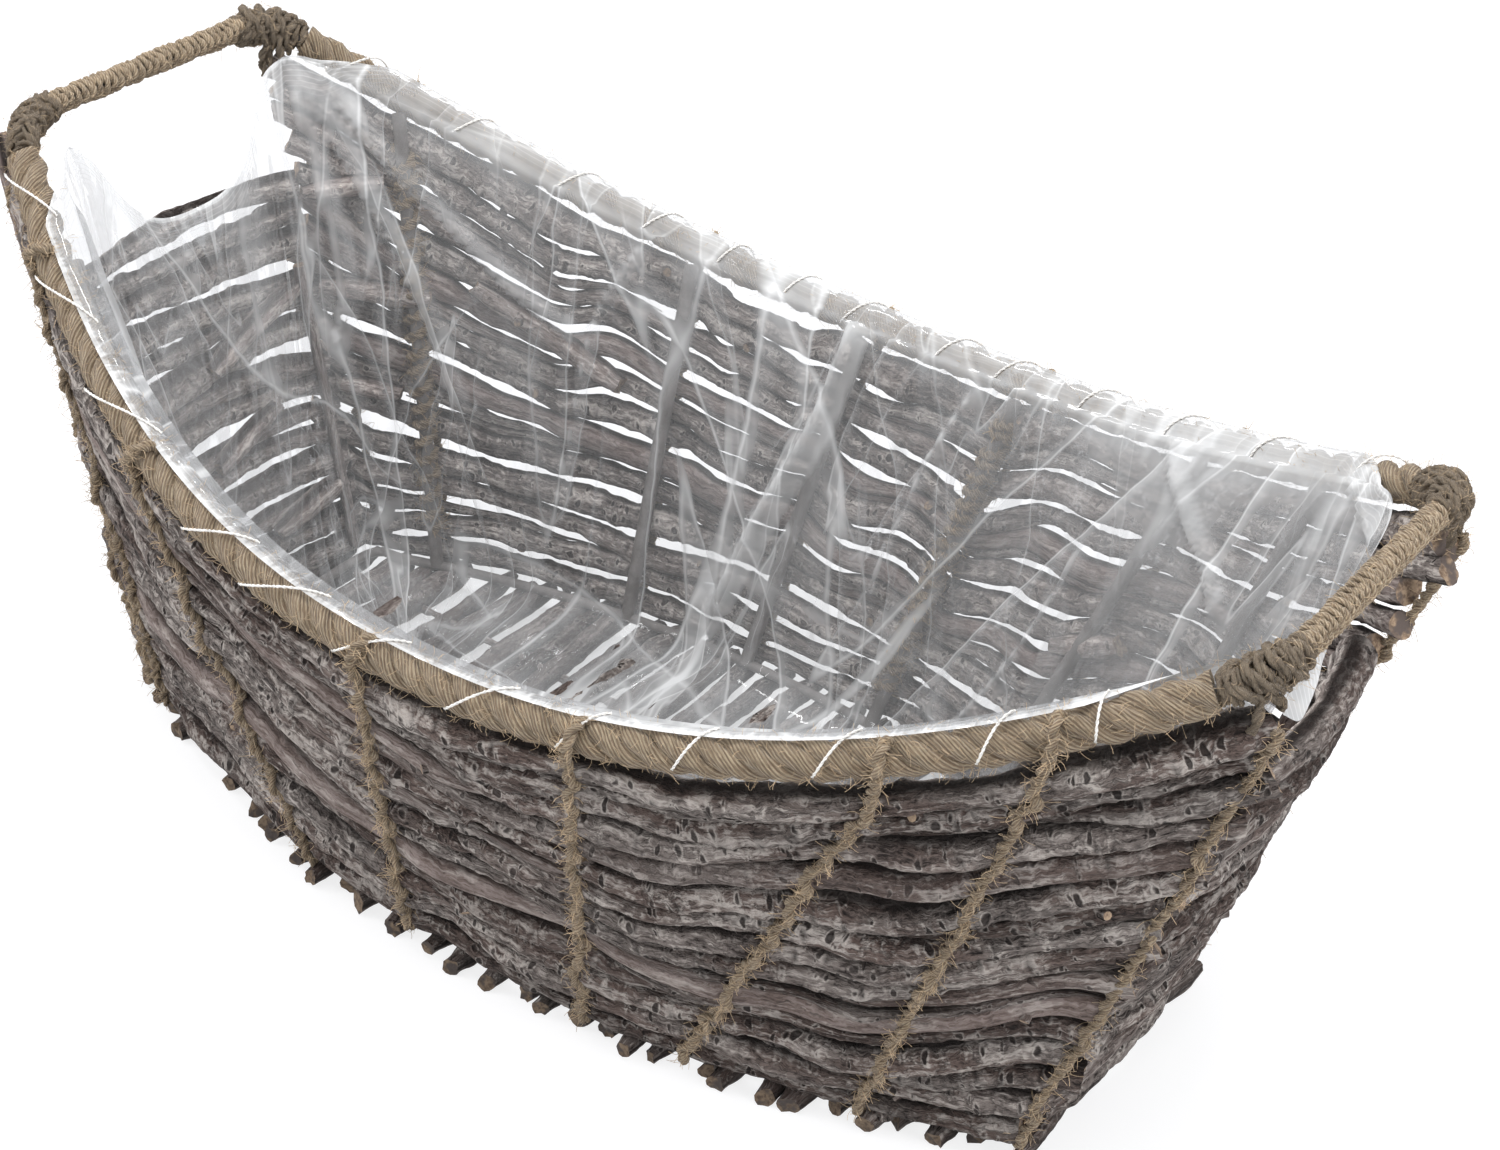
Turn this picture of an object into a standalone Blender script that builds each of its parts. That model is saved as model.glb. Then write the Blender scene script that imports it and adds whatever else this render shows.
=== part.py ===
"""Coco stick planter: a boat-shaped basket of lashed sticks on a wire frame, with a rope-bound rim,
two fixed handles over hand-holes and a clear film liner. Metres, +Z up. The origin is on the surface
that the floor sticks rest on, under the basket's middle; +X runs along the basket to the right handle.
"""

import math
import random

import bmesh
import bpy
from mathutils import Vector

# Overall shape, to the centres of the rim wire and of the base hoop's wall line
HANDLE_SPACING = 0.500
HANDLE_LENGTH = 0.126
HANDLE_HEIGHT = 0.227
RIM_MIDDLE_WIDTH = 0.286
RIM_MIDDLE_HEIGHT = 0.152
RIM_PLAN_POWER = 2.12
RIM_SAG_POWER = 2.18
BASE_LENGTH = 0.386
BASE_MIDDLE_WIDTH = 0.204
BASE_END_WIDTH = 0.116
BASE_PLAN_POWER = 2.08
HAND_HOLE_DEPTH = 0.050

# Sticks
COURSES = 13
COURSE_CLEARANCE = 0.00133
STICK_TIP_SHARE = 0.82
STICK_CROOK = 0.0004
STICK_OUTSIDE_RIM = 0.0025
STICK_END_REACH = 0.016
TOP_STICK_END_REACH = 0.006
SHOOTS_UNDER = (2, 5, 8, 11)
SHOOT_PLACES = (0.50, 0.68, 0.86)
SHOOT_THICKNESS = 0.92
END_STICK_ROOM = 0.0122
END_WALL_BOW = 0.006
FLOOR_STICK_ROOM = 0.0114
FLOOR_STICK_DIAMETER = 0.0096
FLOOR_OVERHANG = 0.017
FLOOR_END_OVERHANG = 0.011
FLOOR_OVERHANG_SPREAD = 0.006

# Wire
FRAME_WIRE = 0.004
RUNNER_WIRE = 0.0025
RUNNER_SPACING = 0.090
RUNNER_HEIGHT = 0.0036
UPRIGHT_DIAMETER = 0.005

# Jute
ROPE_DIAMETER = 0.0144
TIE_DIAMETER = 0.0044
BINDING_DIAMETER = 0.0195
BINDING_ALONG_RIM = 0.016
BINDING_ALONG_HANDLE = 0.015
HANDLE_CORD = 0.0034
HANDLE_LOOPS = 22
HANDLE_CORD_SLACK = 0.0005

# Film
FILM_THICKNESS = 0.0008
FILM_CORNER_DROP = 0.016

# Clearances
GAP = 0.0003
SINK = 0.0010
ROPE_END_GAP = 0.0014
WINDING_END_GAP = 0.0008
CHORD_SAG = 0.0009

# Where each tie and its upright run, along the wall from -1 to 1: at the rim, and at the base
FRONT_UPRIGHTS = [(-0.82, -0.90), (-0.50, -0.37), (-0.05, -0.11), (0.27, 0.27), (0.63, 0.46), (0.80, 0.76)]
BACK_UPRIGHTS = [(-0.82, -0.84), (-0.35, -0.41), (-0.04, -0.12), (0.25, 0.20), (0.60, 0.50), (0.81, 0.81)]
LEFT_CORNER_TIE_PLACE = -0.975
RIGHT_CORNER_TIE_PLACE = 1.020

# Counts that set how fine the facets are
STICK_POINTS = 12
RIM_STEPS = 14
WINDING_STEPS = 8
FILM_STEPS = 14

ROPE_R = ROPE_DIAMETER / 2
TIE_R = TIE_DIAMETER / 2
WIRE_R = FRAME_WIRE / 2
UPRIGHT_R = UPRIGHT_DIAMETER / 2
BINDING_R = BINDING_DIAMETER / 2
FLOOR_TOP = FLOOR_STICK_DIAMETER * math.cos(math.pi / 6)
BASE_HOOP_HEIGHT = FLOOR_TOP + GAP + WIRE_R

COLOURS = {
    "stick": ((0.20, 0.17, 0.16, 1.0), 0.85, 0.0),
    "jute": ((0.36, 0.25, 0.14, 1.0), 0.95, 0.0),
    "wire": ((0.22, 0.21, 0.20, 1.0), 0.45, 1.0),
    "film": ((0.86, 0.88, 0.90, 1.0), 0.25, 0.0),
}

SIDES = {"front": -1, "back": 1}
ENDS = {"left": -1, "right": 1}


# Scene helpers


def clear_scene():
    for old in list(bpy.data.objects):
        bpy.data.objects.remove(old, do_unlink=True)


def new_collection(name):
    made = bpy.data.collections.new(name)
    bpy.context.scene.collection.children.link(made)
    return made


def material(slot):
    made = bpy.data.materials.get(slot)
    if made:
        return made
    made = bpy.data.materials.new(slot)
    made.use_nodes = True
    shader = made.node_tree.nodes["Principled BSDF"]
    colour, roughness, metallic = COLOURS[slot]
    shader.inputs["Base Color"].default_value = colour
    shader.inputs["Roughness"].default_value = roughness
    shader.inputs["Metallic"].default_value = metallic
    return made


def tube(name, points, diameter, slot, radii=None, cyclic=False, caps=True, resolution=1):
    """A round tube along the points, as a poly spline with a bevel."""
    data = bpy.data.curves.new(name, "CURVE")
    data.dimensions = "3D"
    data.bevel_depth = diameter / 2
    data.bevel_resolution = resolution
    data.use_fill_caps = caps
    spline = data.splines.new("POLY")
    spline.points.add(len(points) - 1)
    for i, point in enumerate(points):
        spline.points[i].co = (*point, 1.0)
        spline.points[i].radius = radii[i] if radii else 1.0
    spline.use_cyclic_u = cyclic
    data.materials.append(material(slot))
    made = bpy.data.objects.new(name, data)
    parts.objects.link(made)
    return made


def as_mesh(curve):
    """The curve's tube as a mesh object, with its caps welded on."""
    bpy.context.view_layer.update()
    graph = bpy.context.evaluated_depsgraph_get()
    mesh = bpy.data.meshes.new_from_object(curve.evaluated_get(graph))
    form = bmesh.new()
    form.from_mesh(mesh)
    bmesh.ops.remove_doubles(form, verts=form.verts, dist=1e-6)
    form.to_mesh(mesh)
    form.free()
    name = curve.name
    made = bpy.data.objects.new(name, mesh)
    made.matrix_world = curve.matrix_world
    parts.objects.link(made)
    bpy.data.objects.remove(curve, do_unlink=True)
    made.name = name
    return made


def as_cutter(obj, group=None):
    """Keeps an object as a helper of a Boolean, out of the parts."""
    parts.objects.unlink(obj)
    (group or cutters).objects.link(obj)
    obj.display_type = "WIRE"
    obj.hide_render = True
    return obj


def fuse(body, others):
    """Joins the others to the body with one union."""
    group = bpy.data.collections.new(body.name + "_helpers")
    cutters.children.link(group)
    for other in others:
        as_cutter(other, group)
    union = body.modifiers.new("union", "BOOLEAN")
    union.operation = "UNION"
    union.operand_type = "COLLECTION"
    union.collection = group
    return body


# The basket's shape


def taper(middle, end, place, power):
    return middle + (end - middle) * abs(place) ** power


def rim_point(u, side):
    """Centre of the rim wire, with u from -1 at the left handle to 1 at the right one."""
    width = taper(RIM_MIDDLE_WIDTH, HANDLE_LENGTH, u, RIM_PLAN_POWER)
    height = taper(RIM_MIDDLE_HEIGHT, HANDLE_HEIGHT, u, RIM_SAG_POWER)
    return Vector((u * HANDLE_SPACING / 2, side * width / 2, height))


def base_point(u, side):
    """The wall's foot, level with the base hoop."""
    width = taper(BASE_MIDDLE_WIDTH, BASE_END_WIDTH, u, BASE_PLAN_POWER)
    return Vector((u * BASE_LENGTH / 2, side * width / 2, BASE_HOOP_HEIGHT))


def wall_normal(u, t, side):
    step = 0.01
    before = rim_point(u - step, side).lerp(base_point(u - step, side), t)
    after = rim_point(u + step, side).lerp(base_point(u + step, side), t)
    down = base_point(u, side) - rim_point(u, side)
    normal = (after - before).cross(down).normalized()
    return normal if normal.y * side > 0 else -normal


def wall_point(u, t, side, out=0.0):
    """A point of the long wall: t is 0 at the rim and 1 at the base, out is how far outside it lies."""
    return rim_point(u, side).lerp(base_point(u, side), t) + wall_normal(u, t, side) * out


def wall_length(u):
    return (base_point(u, 1) - rim_point(u, 1)).length


def stick_radius():
    """The radius with which the courses fill the middle of a long wall, from the rim rope to the floor."""
    slant = wall_length(0) / (RIM_MIDDLE_HEIGHT - BASE_HOOP_HEIGHT)
    room = (RIM_MIDDLE_HEIGHT - FLOOR_TOP - GAP - STICK_CROOK) * slant - ROPE_R - GAP - STICK_CROOK
    spaces = COURSES - 1
    return (room - spaces * COURSE_CLEARANCE) / (2 * spaces + slant + 1)


STICK_R = stick_radius()
STICK_DIAMETER = 2 * STICK_R
LOWEST_STICK_HEIGHT = FLOOR_TOP + GAP + STICK_R + STICK_CROOK
UPRIGHT_INSIDE = STICK_R + STICK_CROOK + GAP + UPRIGHT_R + CHORD_SAG - STICK_OUTSIDE_RIM
FILM_INSIDE = UPRIGHT_INSIDE + UPRIGHT_R + GAP + 2 * CHORD_SAG + FILM_THICKNESS / 2


def lowest_share(u):
    """How far down the wall the lowest stick lies."""
    drop = rim_point(u, 1).z - BASE_HOOP_HEIGHT
    return (rim_point(u, 1).z - LOWEST_STICK_HEIGHT) / drop


TOP_SHARE = (ROPE_R + GAP + STICK_R + STICK_CROOK) / wall_length(0)


def shoots_over(course):
    """How many side shoots lie over a course at the basket's ends, where the walls are higher."""
    return sum(1 for number in SHOOTS_UNDER if number <= course)


def course_share(course, u):
    """A course's place between the top one and the lowest one: even in the middle of the wall, and
    even with the side shoots at its ends."""
    middle = course / (COURSES - 1)
    at_end = (course + shoots_over(course)) / (COURSES - 1 + shoots_over(COURSES - 1))
    return middle + (at_end - middle) * min(abs(u), 1) ** RIM_SAG_POWER


def down_share(share, u):
    """A place between the top course and the lowest one, as a share of the wall's height."""
    return TOP_SHARE + (lowest_share(u) - TOP_SHARE) * share


def end_point(share, end):
    """A point of the end wall's middle line: share is 0 at the handle and 1 at the base."""
    top = Vector((end * HANDLE_SPACING / 2, 0, HANDLE_HEIGHT))
    return top.lerp(Vector((end * BASE_LENGTH / 2, 0, BASE_HOOP_HEIGHT)), share)


# Long walls


class Stick:
    """One lengthwise stick: its crooked centre line and its taper."""

    def __init__(self, course, side):
        rng = random.Random(100 * course + side)
        self.side = side
        self.course = course
        self.sway = (COURSE_CLEARANCE - GAP) / 2
        self.phases = [rng.uniform(0, 2 * math.pi) for _ in range(4)]
        self.thick_end = rng.choice((-1, 1))
        reach = (STICK_END_REACH if course else TOP_STICK_END_REACH) / (HANDLE_SPACING / 2)
        ends = [1 + reach * rng.uniform(0.5, 1.0) for _ in range(2)]
        if course == 1:
            ends = [1 + reach, 1 + reach]
        step = (ends[0] + ends[1]) / (STICK_POINTS - 1)
        self.places = [-ends[0] + step * i for i in range(STICK_POINTS)]
        self.points = [self.curve(u) for u in self.places]

    def curve(self, u):
        t = down_share(course_share(self.course, u), u)
        along = self.sway * (0.7 * math.sin(4.1 * u + self.phases[0]) + 0.3 * math.sin(11 * u + self.phases[1]))
        if self.course == COURSES - 1:
            along = -abs(along)
        if self.course == 0:
            along = abs(along)
        return wall_point(u, t + along / wall_length(u), self.side, self.out(u))

    def out(self, u):
        """How far the centre lies outside the rim wire's line."""
        bend = 0.6 * math.sin(6 * u + self.phases[2]) + 0.4 * math.sin(13 * u + self.phases[3])
        return STICK_OUTSIDE_RIM + STICK_CROOK * bend

    def crest(self, u):
        return self.out(u) + self.radius(u)

    def radius(self, u):
        share = (1 + u * self.thick_end) / 2
        return STICK_R * (STICK_TIP_SHARE + (1 - STICK_TIP_SHARE) * min(max(share, 0.0), 1.0))


def make_shoot(name, upper, lower, end):
    """A side shoot of the upper stick that fills the gap over the lower one towards the basket's end."""
    share = (upper.course + 1 + shoots_over(upper.course)) / (COURSES - 1 + shoots_over(COURSES - 1))
    start, *others = [end * place for place in SHOOT_PLACES]
    points, radii = [upper.curve(start)], [0.5]
    for u in (*others, end * (1 + 0.7 * STICK_END_REACH / (HANDLE_SPACING / 2))):
        span = wall_length(u) * (lowest_share(u) - TOP_SHARE)
        beside = min(share - course_share(upper.course, u), course_share(lower.course, u) - share)
        room = span * beside - STICK_R - STICK_CROOK - GAP - upper.sway
        radii.append(min(room / STICK_R, SHOOT_THICKNESS))
        points.append(wall_point(u, down_share(share, u), upper.side, STICK_OUTSIDE_RIM))
    return as_mesh(tube(name, points, STICK_DIAMETER, "stick", radii))


def make_long_sticks(side_name):
    side = SIDES[side_name]
    sticks = [Stick(course, side) for course in range(COURSES)]
    for number, stick in enumerate(sticks, 1):
        radii = [stick.radius(u) / STICK_R for u in stick.places]
        name = f"{side_name}_stick_{number:02d}"
        made = tube(name, stick.points, STICK_DIAMETER, "stick", radii)
        if number in SHOOTS_UNDER:
            shoots = [make_shoot(f"{name}_{end}_shoot", stick, sticks[number], ENDS[end]) for end in ENDS]
            fuse(as_mesh(made), shoots)
    return sticks


# Ties that lash the sticks to the uprights


def over_rope(u, side):
    """The tie's way over the rim rope, from its inner side to its outer one."""
    centre = rim_point(u, side)
    along = (rim_point(u + 0.01, side) - rim_point(u - 0.01, side)).normalized()
    out = wall_normal(u, 0, side)
    up = out.cross(along) * -side
    step = 40
    reach = (ROPE_R + 2 * GAP + TIE_R) / math.cos(math.radians(step / 2))
    turns = [math.radians(a) for a in range(125, 0, -step)]
    return [centre + out * reach * math.cos(a) + up * reach * math.sin(a) for a in turns]


def tie_points(sticks, top, foot, side, start):
    """The tie over the sticks' crests, on every second one and clear of those between."""
    points = list(start)
    for course in range(0, COURSES, 2):
        u = top + (foot - top) * course / (COURSES - 1)
        t = down_share(course_share(course, u), u)
        crest = max(stick.crest(u) for stick in sticks[max(course - 1, 0) : course + 2])
        points.append(wall_point(u, t, side, crest + GAP + TIE_R))
    last = points[-1].copy()
    last.z = FLOOR_TOP + GAP + TIE_R / 2
    return points + [last]


def make_ties(side_name, sticks, uprights):
    side = SIDES[side_name]
    left, right = LEFT_CORNER_TIE_PLACE, RIGHT_CORNER_TIE_PLACE
    places = [(left, left), *uprights, (right, right)]
    for number, (top, foot) in enumerate(places, 1):
        start = over_rope(top, side) if (top, foot) in uprights else []
        points = tie_points(sticks, top, foot, side, start)
        tube(f"{side_name}_tie_{number}", points, TIE_DIAMETER, "jute", resolution=2)


# Wire frame


def half_hoop(side):
    """One half of the base hoop, just inside the walls' foot. The halves meet under the end walls."""
    inset = UPRIGHT_INSIDE
    end_x = BASE_LENGTH / 2 - inset
    points = [Vector((-end_x, side * GAP / 2, BASE_HOOP_HEIGHT))]
    for i in range(RIM_STEPS + 1):
        point = wall_point(-1 + 2 * i / RIM_STEPS, 1, side, -inset)
        x = max(-end_x, min(end_x, point.x))
        points.append(Vector((x, point.y, BASE_HOOP_HEIGHT)))
    return points + [Vector((end_x, side * GAP / 2, BASE_HOOP_HEIGHT))]


def upright_points(top, foot, side):
    """An upright from just under the rim rope to the base hoop that it is welded to."""
    clear = ROPE_R + GAP + UPRIGHT_R
    start = wall_point(top, clear / wall_length(top), side, -UPRIGHT_INSIDE)
    end = wall_point(foot, 1, side, -UPRIGHT_INSIDE)
    end.z = BASE_HOOP_HEIGHT - WIRE_R / 3
    return [start, end]


def make_base_frame(side_name, uprights):
    side = SIDES[side_name]
    hoop = as_mesh(tube(f"{side_name}_base_frame", half_hoop(side), FRAME_WIRE, "wire"))
    rods = []
    for number, (top, foot) in enumerate(uprights, 1):
        name = f"{side_name}_upright_{number}"
        rods.append(as_mesh(tube(name, upright_points(top, foot, side), UPRIGHT_DIAMETER, "wire")))
    fuse(hoop, rods)


def corner_path(side, end):
    """The rim wire's bend from the rim into the handle, as points on a smooth curve."""
    corner = rim_point(end, side)
    rim_share = 1 - BINDING_ALONG_RIM / (HANDLE_SPACING / 2)
    start = rim_point(end * rim_share, side)
    finish = corner - Vector((0, side * BINDING_ALONG_HANDLE, 0))
    shares = (0.0, 0.25, 0.5, 0.75, 1.0)
    return [start.lerp(corner, s).lerp(corner.lerp(finish, s), s) for s in shares]


def rim_run(side):
    """The rim wire's points between its two corners, from left to right."""
    share = 1 - BINDING_ALONG_RIM / (HANDLE_SPACING / 2)
    return [rim_point(-share + 2 * share * i / RIM_STEPS, side) for i in range(RIM_STEPS + 1)]


def make_rim_wire():
    front, back = rim_run(-1), rim_run(1)
    loop = front[1:-1] + corner_path(-1, 1) + corner_path(1, 1)[::-1]
    loop += back[1:-1][::-1] + corner_path(1, -1) + corner_path(-1, -1)[::-1]
    tube("rim_wire", loop, FRAME_WIRE, "wire", cyclic=True)


# Jute round the wire


def shortened(points, cut):
    """The run of points with a little taken off both ends."""
    made = [p.copy() for p in points]
    made[0] += (points[1] - points[0]).normalized() * cut
    made[-1] += (points[-2] - points[-1]).normalized() * cut
    return made


def make_rim_rope(side_name):
    points = shortened(rim_run(SIDES[side_name]), ROPE_END_GAP)
    rope = tube(f"{side_name}_rim_rope", points, ROPE_DIAMETER, "jute", caps=False, resolution=2)
    wall = rope.modifiers.new("wall", "SOLIDIFY")
    wall.thickness = ROPE_R * math.cos(math.pi / 8) - WIRE_R - GAP
    wall.offset = -1
    wall.use_even_offset = True


def make_corner_binding(side_name, end_name):
    path = corner_path(SIDES[side_name], ENDS[end_name])
    radii = [0.80, 0.96, 1.0, 0.94, 0.72]
    name = f"{side_name}_{end_name}_corner_binding"
    binding = as_mesh(tube(name, path, BINDING_DIAMETER, "jute", radii, resolution=2))
    longer = shortened(path, -BINDING_R)
    bore = 2 * (WIRE_R + GAP) / math.cos(math.pi / 8)
    cutter = as_mesh(tube(name + "_bore", longer, bore, "jute", resolution=2))
    as_cutter(cutter)
    cut = binding.modifiers.new("bore", "BOOLEAN")
    cut.operation = "DIFFERENCE"
    cut.object = cutter


def winding_points(end):
    """One unbroken helix round the handle's wire, between the two corner bindings."""
    half = HANDLE_LENGTH / 2 - BINDING_ALONG_HANDLE - WINDING_END_GAP - HANDLE_CORD / 2
    radius = WIRE_R + HANDLE_CORD_SLACK + HANDLE_CORD / 2
    count = HANDLE_LOOPS * WINDING_STEPS
    points = []
    for i in range(count + 1):
        turn = 2 * math.pi * i / WINDING_STEPS
        y = -half + 2 * half * i / count
        x = end * HANDLE_SPACING / 2 + radius * math.cos(turn)
        points.append(Vector((x, y, HANDLE_HEIGHT + radius * math.sin(turn))))
    return points


def least_gap(points, diameter, loop_steps):
    """The least distance between the cord's surfaces, measured between neighbouring loops."""
    least = math.inf
    for i, point in enumerate(points):
        for other in points[i + loop_steps // 2 :]:
            least = min(least, (other - point).length)
    return least - diameter


def make_handle_winding(end_name):
    points = winding_points(ENDS[end_name])
    gap = least_gap(points, HANDLE_CORD, WINDING_STEPS)
    print(f"{end_name}_handle_winding: least gap to itself {1000 * gap:.2f} mm")
    tube(f"{end_name}_handle_winding", points, HANDLE_CORD, "jute")


# End walls


def end_wall_half_width(share, end):
    """Half the length of a crosswise stick that fits between the long walls' sticks."""
    step = 0.01
    here = wall_point(end, share, 1, STICK_OUTSIDE_RIM - STICK_CROOK)
    next_out = wall_point(end * (1 + step), share, 1, STICK_OUTSIDE_RIM - STICK_CROOK)
    slope = (here.y - next_out.y) / abs(next_out.x - here.x)
    room = (STICK_R + GAP) * math.sqrt(1 + slope * slope)
    return here.y - slope * STICK_R - room


def end_stick_shares():
    drop = HANDLE_HEIGHT - BASE_HOOP_HEIGHT
    first = (HAND_HOLE_DEPTH + STICK_R) / drop
    last = (HANDLE_HEIGHT - LOWEST_STICK_HEIGHT) / drop
    length = (last - first) * (end_point(1, 1) - end_point(0, 1)).length
    count = 1 + int(length / END_STICK_ROOM)
    return [first + (last - first) * i / (count - 1) for i in range(count)]


def end_stick_points(share, end, rng):
    centre = end_point(share, end)
    half = end_wall_half_width(share, end)
    bend = Vector((end * END_WALL_BOW, 0, STICK_CROOK * rng.uniform(-1, 1)))
    middle = 0.2 * rng.uniform(-1, 1)
    return [centre + Vector((0, half * p, 0)) + bend * (p == middle) for p in (-1, middle, 1)]


def post_points(side, end):
    """A corner post just inside the crosswise sticks, from under the binding to over the base hoop."""
    bow = END_WALL_BOW * 2 * UPRIGHT_R / end_wall_half_width(1, end)
    inside = STICK_R + UPRIGHT_R - SINK - bow
    down = (end_point(1, end) - end_point(0, end)).normalized()
    inward = Vector((-end * abs(down.z), 0, -abs(down.x)))
    drop = HANDLE_HEIGHT - BASE_HOOP_HEIGHT
    high = (BINDING_R + GAP + UPRIGHT_R) / drop
    low = 1 - (WIRE_R + GAP + (inside + UPRIGHT_R) * abs(down.x)) / drop
    points = []
    for share in (high, low):
        y = end_wall_half_width(share, end) - 2 * UPRIGHT_R
        points.append(end_point(share, end) + inward * inside + Vector((0, side * y, 0)))
    return points


def make_end_wall(end_name):
    end = ENDS[end_name]
    rng = random.Random(7 + end)
    name = f"{end_name}_end_wall"
    body = as_mesh(tube(name, post_points(-1, end), UPRIGHT_DIAMETER, "stick"))
    others = [as_mesh(tube(f"{end_name}_post", post_points(1, end), UPRIGHT_DIAMETER, "stick"))]
    for number, share in enumerate(end_stick_shares(), 1):
        points = end_stick_points(share, end, rng)
        radii = [0.9 + 0.1 * rng.random() for _ in points]
        stick = tube(f"{end_name}_end_stick_{number}", points, STICK_DIAMETER, "stick", radii)
        others.append(as_mesh(stick))
    fuse(body, others)


# Floor


def floor_stick(name, x, half, rng):
    """A six-sided stick across the floor, with a flat side down at height 0."""
    radius = FLOOR_STICK_DIAMETER / 2
    mesh = bpy.data.meshes.new(name)
    form = bmesh.new()
    bmesh.ops.create_cone(form, cap_ends=True, segments=6, radius1=radius, radius2=radius, depth=2 * half)
    form.to_mesh(mesh)
    form.free()
    mesh.materials.append(material("stick"))
    stick = bpy.data.objects.new(name, mesh)
    stick.rotation_euler = (math.pi / 2, math.pi / 6, 0)
    stick.location = (x, half * rng.uniform(-0.02, 0.02), radius * math.cos(math.pi / 6))
    parts.objects.link(stick)
    return stick


def make_floor():
    rng = random.Random(3)
    reach = BASE_LENGTH / 2 + FLOOR_STICK_DIAMETER / 2
    count = 1 + int(2 * reach / FLOOR_STICK_ROOM)
    runners = []
    for side in (-1, 1):
        ends = [Vector((x, side * RUNNER_SPACING / 2, RUNNER_HEIGHT)) for x in (-reach, reach)]
        name = "floor" if side < 0 else "floor_runner"
        runners.append(as_mesh(tube(name, ends, RUNNER_WIRE, "stick", resolution=0)))
    sticks = []
    for i in range(count):
        x = -reach + 2 * reach * i / (count - 1)
        u = min(abs(x) / (BASE_LENGTH / 2), 1)
        overhang = taper(FLOOR_OVERHANG, FLOOR_END_OVERHANG, u, BASE_PLAN_POWER)
        half = base_point(u, 1).y + overhang - FLOOR_OVERHANG_SPREAD * rng.random()
        sticks.append(floor_stick(f"floor_stick_{i + 1}", x, half, rng))
    fuse(runners[0], [runners[1], *sticks])


# Film liner


def film_top_share(u):
    """The film's upper edge: level with the rim wire, and lower beside the corner bindings."""
    start = 0.86
    if abs(u) < start:
        return 0.0
    return FILM_CORNER_DROP / wall_length(u) * min((abs(u) - start) / (0.94 - start), 1)


def film_floor_height():
    return FLOOR_TOP + GAP + FILM_THICKNESS / 2


def film_end_x(share, end):
    inside = STICK_R + FRAME_WIRE - SINK + GAP + CHORD_SAG + FILM_THICKNESS / 2
    return end_point(share, end).x - end * inside * 1.04


def film_column(u, side, rows):
    """The film's points down the long wall at u."""
    top = film_top_share(u)
    column = [wall_point(u, top + (1 - top) * r / rows, side, -FILM_INSIDE) for r in range(rows + 1)]
    for point in column:
        share = (HANDLE_HEIGHT - point.z) / (HANDLE_HEIGHT - BASE_HOOP_HEIGHT)
        limit = abs(film_end_x(share, 1))
        point.x = max(-limit, min(limit, point.x))
    column[-1].z = film_floor_height()
    return column


def film_end_column(place, end, rows):
    """The film's points down the end wall, with place from -1 to 1 across the hand-hole."""
    drop = HANDLE_HEIGHT - BASE_HOOP_HEIGHT
    edge = (HAND_HOLE_DEPTH + 2 * GAP) / drop
    corner = FILM_CORNER_DROP / drop
    top = corner + (edge - corner) * (1 - abs(place) ** 4)
    column = []
    for r in range(rows + 1):
        share = top + (1 - top) * r / rows
        half = end_wall_half_width(share, end) - 2 * UPRIGHT_R
        column.append(Vector((film_end_x(share, end), place * half, end_point(share, end).z)))
    column[-1].z = film_floor_height()
    return column


def make_film_liner():
    rows = 3
    reach = 0.95
    steps = [-reach + 2 * reach * i / FILM_STEPS for i in range(FILM_STEPS + 1)]
    across = (-0.9, -0.6, -0.2, 0.2, 0.6, 0.9)
    columns = [film_column(u, -1, rows) for u in steps]
    columns += [film_end_column(p, 1, rows) for p in across]
    columns += [film_column(u, 1, rows) for u in steps[::-1]]
    columns += [film_end_column(p, -1, rows) for p in across[::-1]]
    form = bmesh.new()
    grid = [[form.verts.new(point) for point in column] for column in columns]
    for here, after in zip(grid, grid[1:] + grid[:1]):
        for r in range(rows):
            form.faces.new((here[r], after[r], after[r + 1], here[r + 1]))
    form.faces.new([column[-1] for column in grid])
    bmesh.ops.recalc_face_normals(form, faces=form.faces)
    mesh = bpy.data.meshes.new("film_liner")
    form.to_mesh(mesh)
    form.free()
    mesh.materials.append(material("film"))
    film = bpy.data.objects.new("film_liner", mesh)
    parts.objects.link(film)
    wall = film.modifiers.new("thickness", "SOLIDIFY")
    wall.thickness = FILM_THICKNESS
    wall.offset = 0
    wall.use_even_offset = True


# The whole planter


def make_planter():
    make_rim_wire()
    make_floor()
    for side_name, uprights in (("front", FRONT_UPRIGHTS), ("back", BACK_UPRIGHTS)):
        make_base_frame(side_name, uprights)
        sticks = make_long_sticks(side_name)
        make_ties(side_name, sticks, uprights)
        make_rim_rope(side_name)
    for end_name in ENDS:
        make_end_wall(end_name)
        make_handle_winding(end_name)
        for side_name in SIDES:
            make_corner_binding(side_name, end_name)
    make_film_liner()


clear_scene()
parts = new_collection("coco_stick_planter")
cutters = new_collection("cutters")
make_planter()
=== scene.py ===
import math

import bpy
import numpy as np
from mathutils import Matrix, Vector


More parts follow.
